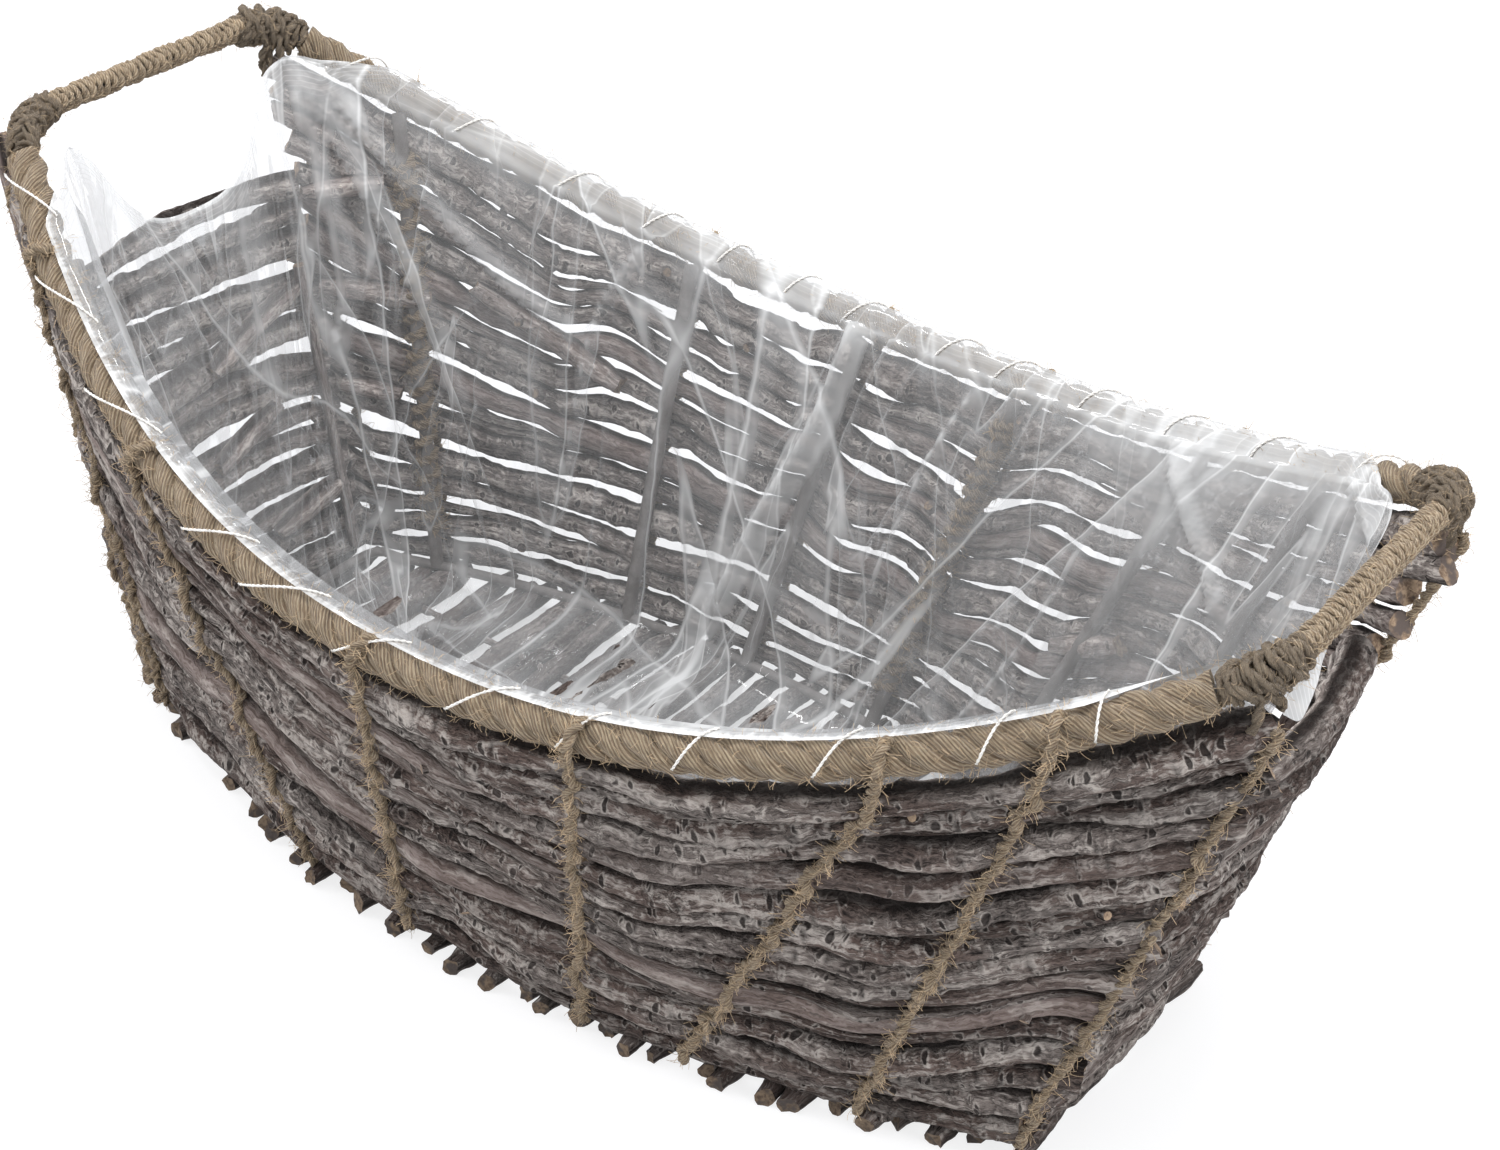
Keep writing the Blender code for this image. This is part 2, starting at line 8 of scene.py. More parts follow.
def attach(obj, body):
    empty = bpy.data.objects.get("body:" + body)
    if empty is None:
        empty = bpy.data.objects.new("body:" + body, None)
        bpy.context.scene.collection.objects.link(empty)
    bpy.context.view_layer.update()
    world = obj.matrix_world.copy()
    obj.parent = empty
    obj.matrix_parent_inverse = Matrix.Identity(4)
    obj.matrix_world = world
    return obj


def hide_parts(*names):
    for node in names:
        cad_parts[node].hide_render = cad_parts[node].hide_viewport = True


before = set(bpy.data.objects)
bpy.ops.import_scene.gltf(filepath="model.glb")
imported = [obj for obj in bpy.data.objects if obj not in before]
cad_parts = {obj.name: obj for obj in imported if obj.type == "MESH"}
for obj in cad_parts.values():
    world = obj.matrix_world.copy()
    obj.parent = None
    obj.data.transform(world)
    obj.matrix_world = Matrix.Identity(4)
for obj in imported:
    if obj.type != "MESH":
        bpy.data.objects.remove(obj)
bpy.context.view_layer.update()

# The basket's own shape, in metres: u runs from -1 at the left handle to 1 at the right one,
# t from 0 at the rim to 1 at the foot, and side is -1 for the front wall and 1 for the back wall.
basket = {
    "handleSpacing": 0.500, "handleLength": 0.126, "handleHeight": 0.227,
    "rimWidth": 0.286, "rimHeight": 0.152, "rimPlanPower": 2.12, "rimSagPower": 2.18,
    "baseLength": 0.386, "baseWidth": 0.204, "baseEndWidth": 0.116, "basePlanPower": 2.08,
    "handHoleDepth": 0.050, "hoopHeight": 0.0106, "floorTop": 0.0083,
    "stickRadius": 0.0048, "ropeRadius": 0.0072, "stickGap": 0.0007, "nearby": 0.01,
    "uprightInside": 0.0064, "filmInside": 0.0114, "courses": 13, "endSlots": 17,
}
handleX = basket["handleSpacing"] / 2
footX = basket["baseLength"] / 2
endDrop = basket["handleHeight"] - basket["hoopHeight"]
sides = {"front": -1, "back": 1}
ends = {"left": -1, "right": 1}


def taper(middle, end, place, power):
    return middle + (end - middle) * np.abs(place) ** power


def rimPoint(u, side):
    u = np.asarray(u, float)
    y = side * taper(basket["rimWidth"], basket["handleLength"], u, basket["rimPlanPower"]) / 2
    z = taper(basket["rimHeight"], basket["handleHeight"], u, basket["rimSagPower"])
    return np.stack([u * handleX, y, z], -1)


def basePoint(u, side):
    u = np.asarray(u, float)
    y = side * taper(basket["baseWidth"], basket["baseEndWidth"], u, basket["basePlanPower"]) / 2
    return np.stack([u * footX, y, np.full(u.shape, basket["hoopHeight"])], -1)


def unit(v):
    return v / np.maximum(np.linalg.norm(v, axis=-1, keepdims=True), 1e-12)


def between(a, b, share):
    share = np.asarray(share, float)
    share = share[..., None] if np.ndim(a) > np.ndim(share) else share
    return a + (b - a) * share


def wallNormal(u, t, side):
    u = np.asarray(u, float)
    before, after = (between(rimPoint(near, side), basePoint(near, side), t)
                     for near in (u - basket["nearby"], u + basket["nearby"]))
    normal = unit(np.cross(after - before, basePoint(u, side) - rimPoint(u, side)))
    return normal * np.sign(normal[..., 1:2] * side)


def rimDirection(u, side):
    return unit(rimPoint(u + basket["nearby"], side) - rimPoint(u - basket["nearby"], side))


def wallPoint(u, t, side, out=0.0):
    u = np.asarray(u, float)
    t = np.broadcast_to(np.asarray(t, float), u.shape)
    out = np.broadcast_to(np.asarray(out, float), u.shape)[..., None]
    return between(rimPoint(u, side), basePoint(u, side), t) + wallNormal(u, t, side) * out


def wallLength(u):
    return np.linalg.norm(basePoint(u, 1) - rimPoint(u, 1), axis=-1)


def lowestShare(u):
    rim = rimPoint(u, 1)[..., 2]
    return (rim - basket["floorTop"] - basket["stickGap"] - basket["stickRadius"]) / (rim - basket["hoopHeight"])


topShare = (basket["ropeRadius"] + basket["stickGap"] + basket["stickRadius"]) / float(wallLength(0.0))


def endPoint(share, end):
    share = np.asarray(share, float)[..., None]
    top = np.array([end * handleX, 0, basket["handleHeight"]])
    foot = np.array([end * footX, 0, basket["hoopHeight"]])
    return top + (foot - top) * share


def endHalfWidth(share, end):
    # half the length of a crosswise stick that fits between the long walls' sticks
    share = np.asarray(share, float)
    here, after = (wallPoint(np.full(share.shape, end * u), share, 1, 0.0021) for u in (1.0, 1.01))
    slope = (here[..., 1] - after[..., 1]) / np.abs(after[..., 0] - here[..., 0])
    room = (basket["stickRadius"] + 0.0003) * np.sqrt(1 + slope ** 2)
    return here[..., 1] - slope * basket["stickRadius"] - room


# Soft noise, numbers from -1 to 1
def cellValue(x, y, z, seed):
    h = (x * 73856093) ^ (y * 19349663) ^ (z * 83492791) ^ ((seed * 40503 + 977) & 0xffffff)
    h = h & 0xffffffff
    h = ((h ^ (h >> 15)) * 224682251) & 0xffffffff
    h = ((h ^ (h >> 13)) * 326648991) & 0xffffffff
    return ((h ^ (h >> 16)) & 0xffffff) / 8388607.5 - 1.0


def softNoise(points, seed=0):
    cell = np.floor(points).astype(np.int64)
    f = points - cell
    f = f * f * (3 - 2 * f)
    x, y, z = cell[..., 0], cell[..., 1], cell[..., 2]
    total = 0.0
    for i in (0, 1):
        for j in (0, 1):
            for k in (0, 1):
                weight = (f[..., 0] if i else 1 - f[..., 0]) * (f[..., 1] if j else 1 - f[..., 1])
                weight = weight * (f[..., 2] if k else 1 - f[..., 2])
                total = total + weight * cellValue(x + i, y + j, z + k, seed)
    return total


def lineNoise(x, seed=0):
    x = np.asarray(x, float)
    return softNoise(np.stack([x, x * 0 + 0.5, x * 0 + 0.5], -1), seed)


def smooth(low, high, x):
    x = np.clip((np.asarray(x, float) - low) / (high - low), 0, 1)
    return x * x * (3 - 2 * x)


# Paths and tubes
def evenPath(points, step):
    # a smooth line through the points, with a point every step
    p = np.asarray(points, float)
    p = np.vstack([2 * p[0] - p[1], p, 2 * p[-1] - p[-2]])
    fine = []
    for a, b, c, d in zip(p[:-3], p[1:-2], p[2:-1], p[3:]):
        x = np.linspace(0, 1, 12, endpoint=False)[:, None]
        fine.append(0.5 * (2 * b + (c - a) * x + (2 * a - 5 * b + 4 * c - d) * x ** 2 + (3 * b - a - 3 * c + d) * x ** 3))
    fine = np.vstack(fine + [p[-2:-1]])
    length = np.concatenate([[0], np.cumsum(np.linalg.norm(np.diff(fine, axis=0), axis=1))])
    count = max(int(round(length[-1] / step)) + 1, 3)
    wanted = np.linspace(0, length[-1], count)
    return np.stack([np.interp(wanted, length, fine[:, k]) for k in range(3)], -1)


def carry(line):
    # tangent and two cross directions along a line, without twist
    tangent = unit(np.gradient(line, axis=0))
    first = np.cross(tangent[0], (0.0, 0.0, 1.0) if abs(tangent[0][2]) < 0.9 else (1.0, 0.0, 0.0))
    across = np.empty_like(line)
    across[0] = first / np.linalg.norm(first)
    for i in range(1, len(line)):
        v = across[i - 1] - tangent[i] * (across[i - 1] @ tangent[i])
        across[i] = v / math.sqrt(v @ v)
    return tangent, across, np.cross(tangent, across)


def circleAngles(count):
    return np.linspace(0, 2 * math.pi, count, endpoint=False)


def ringAround(across, upward, angle, flat=np.ones(1)):
    # for each point of a line, the directions round it
    level = across[:, None] * np.cos(angle)[None, :, None]
    return level + upward[:, None] * (np.sin(angle)[None, :] * flat[:, None])[..., None]


pileKeys = ("verts", "quads", "tris", "space", "relief", "tint", "peel", "scar")


def newPile():
    return {**{key: [] for key in pileKeys}, "count": 0}


def addTube(pile, grid, space, relief=0.0, tint=0.0, peel=0.0, scar=0.0):
    rings, around = grid.shape[:2]
    start = pile["count"]
    index = start + np.arange(rings * around).reshape(rings, around)
    after = np.roll(index, -1, axis=1)
    low, high = start + rings * around, start + rings * around + 1
    pile["quads"].append(np.stack([index[:-1], after[:-1], after[1:], index[1:]], -1).reshape(-1, 4))
    pile["tris"] += [np.stack([np.full(around, low), after[0], index[0]], -1),
                     np.stack([np.full(around, high), index[-1], after[-1]], -1)]
    for key, value in (("verts", grid), ("space", space)):
        pile[key] += [value.reshape(-1, 3), value[0].mean(0)[None], value[-1].mean(0)[None]]
    for key, value in (("relief", relief), ("tint", tint), ("peel", peel), ("scar", scar)):
        cap = float(np.mean(value)) if key in ("tint", "peel") else 0.0
        pile[key] += [np.broadcast_to(value, (rings, around)).ravel(), np.full(2, cap)]
    pile["count"] = high + 1


def meshFrom(name, verts, quads, tris, materials, triMaterial=0, attributes=None):
    mesh = bpy.data.meshes.new(name)
    mesh.vertices.add(len(verts))
    mesh.vertices.foreach_set("co", np.asarray(verts, np.float32).ravel())
    corners = np.concatenate([quads.ravel(), tris.ravel()]) if len(tris) else quads.ravel()
    mesh.loops.add(len(corners))
    mesh.loops.foreach_set("vertex_index", corners.astype(np.int32))
    starts = np.concatenate([np.arange(len(quads)) * 4, len(quads) * 4 + np.arange(len(tris)) * 3])
    mesh.polygons.add(len(starts))
    mesh.polygons.foreach_set("loop_start", starts.astype(np.int32))
    index = np.concatenate([np.zeros(len(quads)), np.full(len(tris), triMaterial)]).astype(np.int32)
    for one in materials:
        mesh.materials.append(one)
    mesh.polygons.foreach_set("material_index", index)
    mesh.update(calc_edges=True)
    mesh.shade_smooth()
    for key, value in (attributes or {}).items():
        value = np.asarray(value, np.float32)
        kind, field = ("FLOAT_VECTOR", "vector") if value.ndim == 2 else ("FLOAT", "value")
        mesh.attributes.new(key, kind, "POINT").data.foreach_set(field, value.ravel())
    return mesh


def link(obj):
    bpy.context.scene.collection.objects.link(obj)
    return obj


def settle(obj, slot, *nodes):
    # the piece rides on the basket and stands for the nodes; the slot is not used
    link(obj)
    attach(obj, "root")
    if nodes:
        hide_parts(*nodes)
    return obj


def finishPile(pile, name, slot, materials, *nodes):
    joined = {key: np.concatenate(pile[key]) for key in pileKeys}
    attributes = {"grainSpace": joined["space"], **{key: joined[key] for key in ("relief", "tint", "peel", "scar")}}
    mesh = meshFrom(name, joined["verts"], joined["quads"], joined["tris"], materials, 1, attributes)
    mesh.set_sharp_from_angle(angle=math.radians(62))
    return settle(bpy.data.objects.new(name, mesh), slot, *nodes)


# Node helpers
def feed(tree, sockets, values):
    # links each socket to a value that is a socket itself, or sets it
    for key, value in values.items():
        if isinstance(value, bpy.types.NodeSocket):
            tree.links.new(value, sockets[key])
        else:
            sockets[key].default_value = value


def addNode(tree, kind, inputs=None, **settings):
    made = tree.nodes.new(kind)
    for key, value in settings.items():
        setattr(made, key, value)
    feed(tree, made.inputs, inputs or {})
    return made


def shaderNode(tree, kind, inputs=None, **settings):
    return addNode(tree, "ShaderNode" + kind, inputs, **settings)


def geometryNode(tree, kind, inputs=None, **settings):
    return addNode(tree, "GeometryNode" + kind, inputs, **settings).outputs[0]


def calc(tree, operation, a, b=0.0, c=None, clamp=False):
    inputs = {0: a, 1: b} if c is None else {0: a, 1: b, 2: c}
    return shaderNode(tree, "Math", inputs, operation=operation, use_clamp=clamp).outputs[0]


def multiply(tree, a, b):
    return calc(tree, "MULTIPLY", a, b)


def multiplyAdd(tree, a, b, c):
    return calc(tree, "MULTIPLY_ADD", a, b, c)


def oneMinus(tree, a):
    return calc(tree, "SUBTRACT", 1.0, a)


def addUp(tree, first, *others):
    for other in others:
        first = calc(tree, "ADD", first, other)
    return first


def vectorCalc(tree, operation, a, b, c=None):
    inputs = {0: a, 1: b} if c is None else {0: a, 1: b, 2: c}
    return shaderNode(tree, "VectorMath", inputs, operation=operation).outputs[0]


def scaled(tree, vector, size):
    return shaderNode(tree, "VectorMath", {0: vector, "Scale": size}, operation="SCALE").outputs[0]


def vectorOf(tree, x, y=0.0, z=0.0):
    return shaderNode(tree, "CombineXYZ", {0: x, 1: y, 2: z}).outputs[0]


def step(tree, value, low, high):
    # 0 below low and 1 above high, soft between
    return shaderNode(tree, "MapRange", {"Value": value, "From Min": low, "From Max": high},
                      interpolation_type="SMOOTHSTEP", clamp=True).outputs[0]


def mixColour(tree, share, a, b, way="MIX"):
    made = shaderNode(tree, "Mix", data_type="RGBA", blend_type=way)
    feed(tree, made.inputs, {0: share, 6: a, 7: b})
    return made.outputs[2]


def noiseAt(tree, vector, scale, detail=2.0, roughness=0.5):
    inputs = {"Vector": vector, "Scale": scale, "Detail": detail, "Roughness": roughness}
    return shaderNode(tree, "TexNoise", inputs).outputs["Fac"]


def grainAt(tree, space, scales, detail=2.0, roughness=0.5):
    # noise with its own scale along each axis
    return noiseAt(tree, vectorCalc(tree, "MULTIPLY", space, scales), 1.0, detail, roughness)


def warped(tree, space, scale, amounts):
    # the place itself, moved a little by noise
    bend = shaderNode(tree, "TexNoise", {"Vector": space, "Scale": scale, "Detail": 2.0}).outputs["Color"]
    bend = vectorCalc(tree, "MULTIPLY", vectorCalc(tree, "SUBTRACT", bend, (0.5, 0.5, 0.5)), amounts)
    return vectorCalc(tree, "ADD", space, bend)


def objectSpace(tree):
    return shaderNode(tree, "TexCoord").outputs["Object"]


def newGroup(name, inputs, outputs, kind="ShaderNodeTree"):
    # inputs: label to kind of socket and default value; outputs: label to kind of socket
    tree = bpy.data.node_groups.new(name, kind)
    for label, (socket, value) in inputs.items():
        made = tree.interface.new_socket(label, in_out="INPUT", socket_type="NodeSocket" + socket)
        if value is not None:
            made.default_value = value
    for label, socket in outputs.items():
        tree.interface.new_socket(label, in_out="OUTPUT", socket_type="NodeSocket" + socket)
    return tree, tree.nodes.new("NodeGroupInput").outputs, tree.nodes.new("NodeGroupOutput").inputs


def newMaterial(name):
    made = bpy.data.materials.new(name)
    made.use_nodes = True
    return made, made.node_tree, made.node_tree.nodes["Principled BSDF"]


def bump(tree, height, strength, distance):
    inputs = {"Height": height, "Strength": strength, "Distance": distance}
    return shaderNode(tree, "Bump", inputs).outputs[0]


def setSurface(tree, shader, kind="OUTPUT_MATERIAL"):
    output = [n for n in tree.nodes if n.type == kind][0]
    tree.links.new(shader.outputs[0], output.inputs["Surface"])


def mixShader(tree, share, a, b):
    return shaderNode(tree, "MixShader", {0: share, 1: a.outputs[0], 2: b.outputs[0]})


def shaded(colour, shade):
    return tuple(c * shade for c in colour[:3]) + (1,)


def attributeOf(tree, name, output="Fac"):
    return shaderNode(tree, "Attribute", attribute_name=name).outputs[output]


# Bark and wood
barkColours = {
    "dark": (0.017, 0.013, 0.012, 1), "brown": (0.110, 0.080, 0.070, 1), "grey": (0.162, 0.139, 0.128, 1),
    "pale": (0.475, 0.432, 0.400, 1), "peeled": (0.205, 0.165, 0.153, 1),
}
cutColours = {"fresh": (0.360, 0.262, 0.180, 1), "ring": (0.150, 0.100, 0.070, 1), "old": (0.120, 0.095, 0.085, 1)}


def makeBarkGroup():
    plain = {label: ("Float", 0.0) for label in ("Relief", "Tint", "Peel", "Scar")}
    colours = {label.capitalize(): ("Color", colour) for label, colour in barkColours.items()}
    tree, given, result = newGroup("barkGrain", {"Space": ("Vector", None), **plain, **colours},
                                   {"Colour": "Color", "Height": "Float", "Roughness": "Float"})
    space = warped(tree, given["Space"], 170.0, (0.006, 0.0034, 0.0034))
    fibre = grainAt(tree, space, (58, 980, 980), 4.0, 0.66)
    plates = grainAt(tree, space, (52, 300, 300), 4.0, 0.66)
    crust = grainAt(tree, space, (270, 520, 520), 3.0, 0.66)
    patches = grainAt(tree, space, (20, 85, 85))
    # short dark slits across the stick, each with a raised lip
    slitSpace = vectorCalc(tree, "MULTIPLY", space, (280, 165, 165))
    slits = shaderNode(tree, "TexVoronoi", {"Vector": slitSpace, "Scale": 1.0, "Randomness": 1.0})
    chance = shaderNode(tree, "SeparateColor", {0: slits.outputs["Color"]}).outputs[0]
    away = multiplyAdd(tree, chance, 0.26, slits.outputs["Distance"])
    unpeeled = oneMinus(tree, given["Peel"])
    pit = multiply(tree, oneMinus(tree, step(tree, away, 0.24, 0.36)), unpeeled)
    # the scar input also carries painted shade along the seams between sticks
    pit = calc(tree, "MAXIMUM", pit, given["Scar"])
    lip = calc(tree, "SUBTRACT", step(tree, away, 0.29, 0.38), step(tree, away, 0.40, 0.58))
    lip = multiply(tree, lip, unpeeled)
    crack = calc(tree, "ABSOLUTE", calc(tree, "SUBTRACT", plates, 0.47))
    crack = multiply(tree, oneMinus(tree, step(tree, crack, 0.004, 0.022)), unpeeled)
    split = oneMinus(tree, step(tree, fibre, 0.30, 0.42))
    # crests are pale, hollows and cracks are dark: mostly the bark's own colour, while the stick's relief adds painted
    # shade in its hollows and painted highlight on its raised parts
    rise = multiplyAdd(tree, crust, 0.44, multiply(tree, fibre, 0.60))
    for value, weight in ((plates, 0.62), (given["Relief"], 0.085), (lip, 0.12)):
        rise = multiplyAdd(tree, value, weight, rise)

    def layer(under, label, share, amount=None):
        share = share if amount is None else multiply(tree, share, amount)
        return mixColour(tree, share, under, given[label])

    # the tint holds each stick's own tone plus the painted light on its inner side; it turns the bark greyer here and
    # lifts its colour below
    tinted = multiplyAdd(tree, given["Tint"], 0.10, patches)
    body = layer(given["Brown"], "Grey", step(tree, tinted, 0.42, 0.60))
    body = layer(body, "Pale", step(tree, rise, 0.83, 1.04), 0.76)
    body = layer(body, "Dark", oneMinus(tree, step(tree, rise, 0.65, 0.82)))
    body = layer(body, "Dark", crack, 0.50)
    bare = layer(given["Brown"], "Peeled", step(tree, fibre, 0.40, 0.62))
    bare = layer(bare, "Pale", step(tree, plates, 0.50, 0.68), 0.45)
    bare = layer(bare, "Dark", split, 0.75)
    body = layer(mixColour(tree, given["Peel"], body, bare), "Dark", pit, 0.88)
    bright = multiplyAdd(tree, given["Tint"], 0.20, 1.0)
    body = mixColour(tree, 1.0, body, vectorOf(tree, bright, bright, bright), "MULTIPLY")
    height = multiplyAdd(tree, plates, 1.5, multiply(tree, fibre, 0.9))
    for value, weight in ((multiply(tree, crust, unpeeled), 2.0), (pit, -0.9), (crack, -0.35), (lip, 0.35)):
        height = multiplyAdd(tree, value, weight, height)
    feed(tree, result, {"Colour": body, "Height": height,
                        "Roughness": multiplyAdd(tree, given["Peel"], -0.16, 0.88)})
    return tree


barkGroup = makeBarkGroup()


def makeBark(name, relief):
    made, tree, shader = newMaterial(name)
    values = {label: attributeOf(tree, label.lower()) for label in ("Relief", "Tint", "Peel", "Scar")}
    values["Space"] = attributeOf(tree, "grainSpace", "Vector")
    grain = shaderNode(tree, "Group", values, node_tree=barkGroup).outputs
    feed(tree, shader.inputs, {"Base Color": grain["Colour"], "Roughness": grain["Roughness"],
                               "Specular IOR Level": 0.25, "Normal": bump(tree, grain["Height"], 1.0, relief)})
    return made


def makeCutWood(name, shade):
    made, tree, shader = newMaterial(name)
    streak = noiseAt(tree, objectSpace(tree), 620.0, 3.0, 0.6)
    blotch = noiseAt(tree, objectSpace(tree), 170.0)
    fresh, ring, old = (shaded(cutColours[key], shade) for key in ("fresh", "ring", "old"))
    body = mixColour(tree, step(tree, streak, 0.32, 0.62), ring, fresh)
    body = mixColour(tree, step(tree, blotch, 0.46, 0.60), body, old)
    feed(tree, shader.inputs, {"Base Color": body, "Roughness": 0.85, "Normal": bump(tree, streak, 0.8, 0.0006)})
    return made


bark = makeBark("bark", 0.0016)
floorBark = makeBark("floorBark", 0.0010)
cutWood = makeCutWood("cutWood", 1.0)
# the floor sticks' cut ends are darker than the walls'
darkCut = makeCutWood("darkCutWood", 0.50)
print("bark materials")

stick = {
    "step": 0.00135, "sides": 22, "crook": 0.0019, "bendLength": 0.048, "kinkLength": 0.016,
    "swell": 0.16, "ridge": 0.00060, "crust": 0.00040, "groove": 1.1, "relief": 0.0010,
    # noise scales of swell, ridge, crust and groove: along the stick and across it
    "scales": ((26, 80, 80), (60, 240, 240), (260, 300, 300), (11, 250, 250)),
    "knobGap": 0.0105, "knob": 0.0020, "knobLength": (0.0018, 0.0036), "scar": 0.0010, "scarDepth": 0.0010,
    "bladeLength": 0.034, "flatLength": 0.045, "snapLength": 0.010, "jag": 0.0022, "inside": 4.2,
    "stubChance": 0.24, "stubGap": (0.02, 0.07), "stubRadius": (0.0015, 0.0026), "stubHeight": (0.0008, 0.0024),
}


def barkTube(pile, path, radii, seed, peel=0.0, tips=("cut", "cut"), crook=1.0, tint=0.0, around=stick["sides"],
             stubs=True, gap=stick["step"], face=None):
    # one stick along the path; face is the way out of the basket, from the path's first point to its last
    rng = np.random.default_rng(seed)
    line = evenPath(path, gap)
    count = len(line)
    s = np.arange(count) * gap
    radius = np.interp(np.linspace(0, 1, count), np.linspace(0, 1, len(radii)), radii)
    tangent, across, upward = carry(line)
    for direction, salt in ((across, 1), (upward, 2)):
        bend = 0.8 * lineNoise(s / stick["bendLength"] + 7 * salt + seed, seed + salt)
        bend = bend + 0.35 * lineNoise(s / stick["kinkLength"], seed + salt + 5)
        line = line + direction * (bend * (stick["crook"] * crook))[:, None]
    tangent, across, upward = carry(line)
    angle = circleAngles(around)
    space = np.empty((count, around, 3))
    space[..., 0] = s[:, None] + rng.uniform(0, 40)
    space[..., 1] = np.cos(angle) * basket["stickRadius"]
    space[..., 2] = np.sin(angle) * basket["stickRadius"]
    rough = (1 - 0.80 * peel) * rng.uniform(0.6, 1.15)
    facing = upward
    if face is not None:
        facing = np.stack([np.interp(s / s[-1], np.linspace(0, 1, len(face)), one) for one in face.T], -1)
    outward = np.sum(ringAround(across, upward, angle) * facing[:, None], -1)
    # painted shade: darker where the stick's sides turn towards its neighbours
    paintedSeamShade = 0.0 if face is None else 1 - smooth(0.24, 0.72, np.abs(outward))
    # painted light: the side that faces into the basket is made paler
    tint = tint + stick["inside"] * smooth(0.15, 0.70, -outward)
    towards = np.arctan2(np.sum(upward * facing, -1), np.sum(across * facing, -1))
    swell, *folds = (softNoise(space * scales, seed + i) for i, scales in enumerate(stick["scales"]))
    ridge, crust, groove = (crest - 2 * np.abs(fold) for crest, fold in zip((1, 0.6, 1), folds))
    added = radius[:, None] * stick["swell"] * swell + (stick["ridge"] * ridge + stick["crust"] * crust) * rough
    added += stick["ridge"] * stick["groove"] * groove * peel
    scar = np.zeros((count, around))
    knob = rng.uniform(0, stick["knobGap"])
    while knob < s[-1]:
        i = min(int(knob / gap), count - 1)
        side = angle - (towards[i] + rng.choice((0, math.pi)) + rng.normal() * 0.7)
        near = np.exp(-((s - knob) / rng.uniform(*stick["knobLength"])) ** 2)
        size = rng.uniform(0.25, 1.1) * rough
        added += near[:, None] * (0.15 + 0.85 * np.clip(np.cos(side), 0, 1) ** 3) * stick["knob"] * size
        turn = (side + math.pi) % (2 * math.pi) - math.pi
        mark = np.exp(-((s - knob) / stick["scar"]) ** 2)[:, None] * np.exp(-(turn / 0.42) ** 2)
        scar = np.maximum(scar, mark * min(1.0, size * 1.6))
        knob += stick["knobGap"] * rng.uniform(0.4, 1.7)
    added -= scar * stick["scarDepth"]
    flat = np.ones(count)
    for tip, distance in zip(tips, (s, s[-1] - s)):
        if tip == "blade":
            slim = 0.16 + 0.84 * smooth(0, stick["bladeLength"], distance)
            radius = radius * slim
            added = added * slim[:, None]
            flat = flat * (0.55 + 0.45 * smooth(0, stick["flatLength"], distance))
        if tip == "snapped":
            radius = radius * (0.72 + 0.28 * smooth(0, stick["snapLength"], distance))
    grid = line[:, None] + ringAround(across, upward, angle, flat) * (radius[:, None] + added)[..., None]
    jag = lineNoise(np.cos(angle) * 2.1 + seed, seed + 11) + 0.6 * lineNoise(np.sin(angle) * 3.3 + 4, seed + 12)
    for end, sign in ((0, -1), (-1, 1)):
        tilt = rng.uniform(-1, 1) * np.cos(angle + rng.uniform(0, 6))
        size = min(stick["jag"], radius[end] * 0.5)
        grid[end] += tangent[end] * (sign * size * (jag + tilt))[:, None]
    # the scar attribute carries the knob scars and the painted shade along the seams
    addTube(pile, grid, space, np.clip(added / stick["relief"], -1, 1), tint, peel, np.maximum(scar, paintedSeamShade))
    along = rng.uniform(0.01, 0.05) if stubs else s[-1]
    while along < s[-1] - 0.01:
        if rng.random() < stick["stubChance"]:
            i = int(along / gap)
            turn = rng.uniform(0, 2 * math.pi)
            aside = across[i] * math.cos(turn) + upward[i] * math.sin(turn)
            lean = unit(aside + tangent[i] * rng.uniform(-0.9, 0.9))
            size = rng.uniform(*stick["stubRadius"])
            tall = radius[i] * 0.5 + rng.uniform(*stick["stubHeight"])
            addStub(pile, line[i] + aside * radius[i] * 0.55, lean, tall, size, seed + i)
        along += rng.uniform(*stick["stubGap"])
    return line, radius


def addStub(pile, root, lean, tall, size, seed):
    # the short butt of a twig that was cut off
    rise = np.linspace(0, tall, 4)[:, None]
    line = root + lean * rise
    _, across, upward = carry(line)
    angle = circleAngles(9)
    radius = size * np.array([1.35, 1.15, 1.0, 0.92])[:, None] * (1 + 0.12 * lineNoise(angle * 2, seed))[None, :]
    grid = line[:, None] + ringAround(across, upward, angle) * radius[..., None]
    space = np.stack(np.broadcast_arrays(rise + seed % 17, np.cos(angle) * size, np.sin(angle) * size), -1)
    addTube(pile, grid, space, tint=0.1)


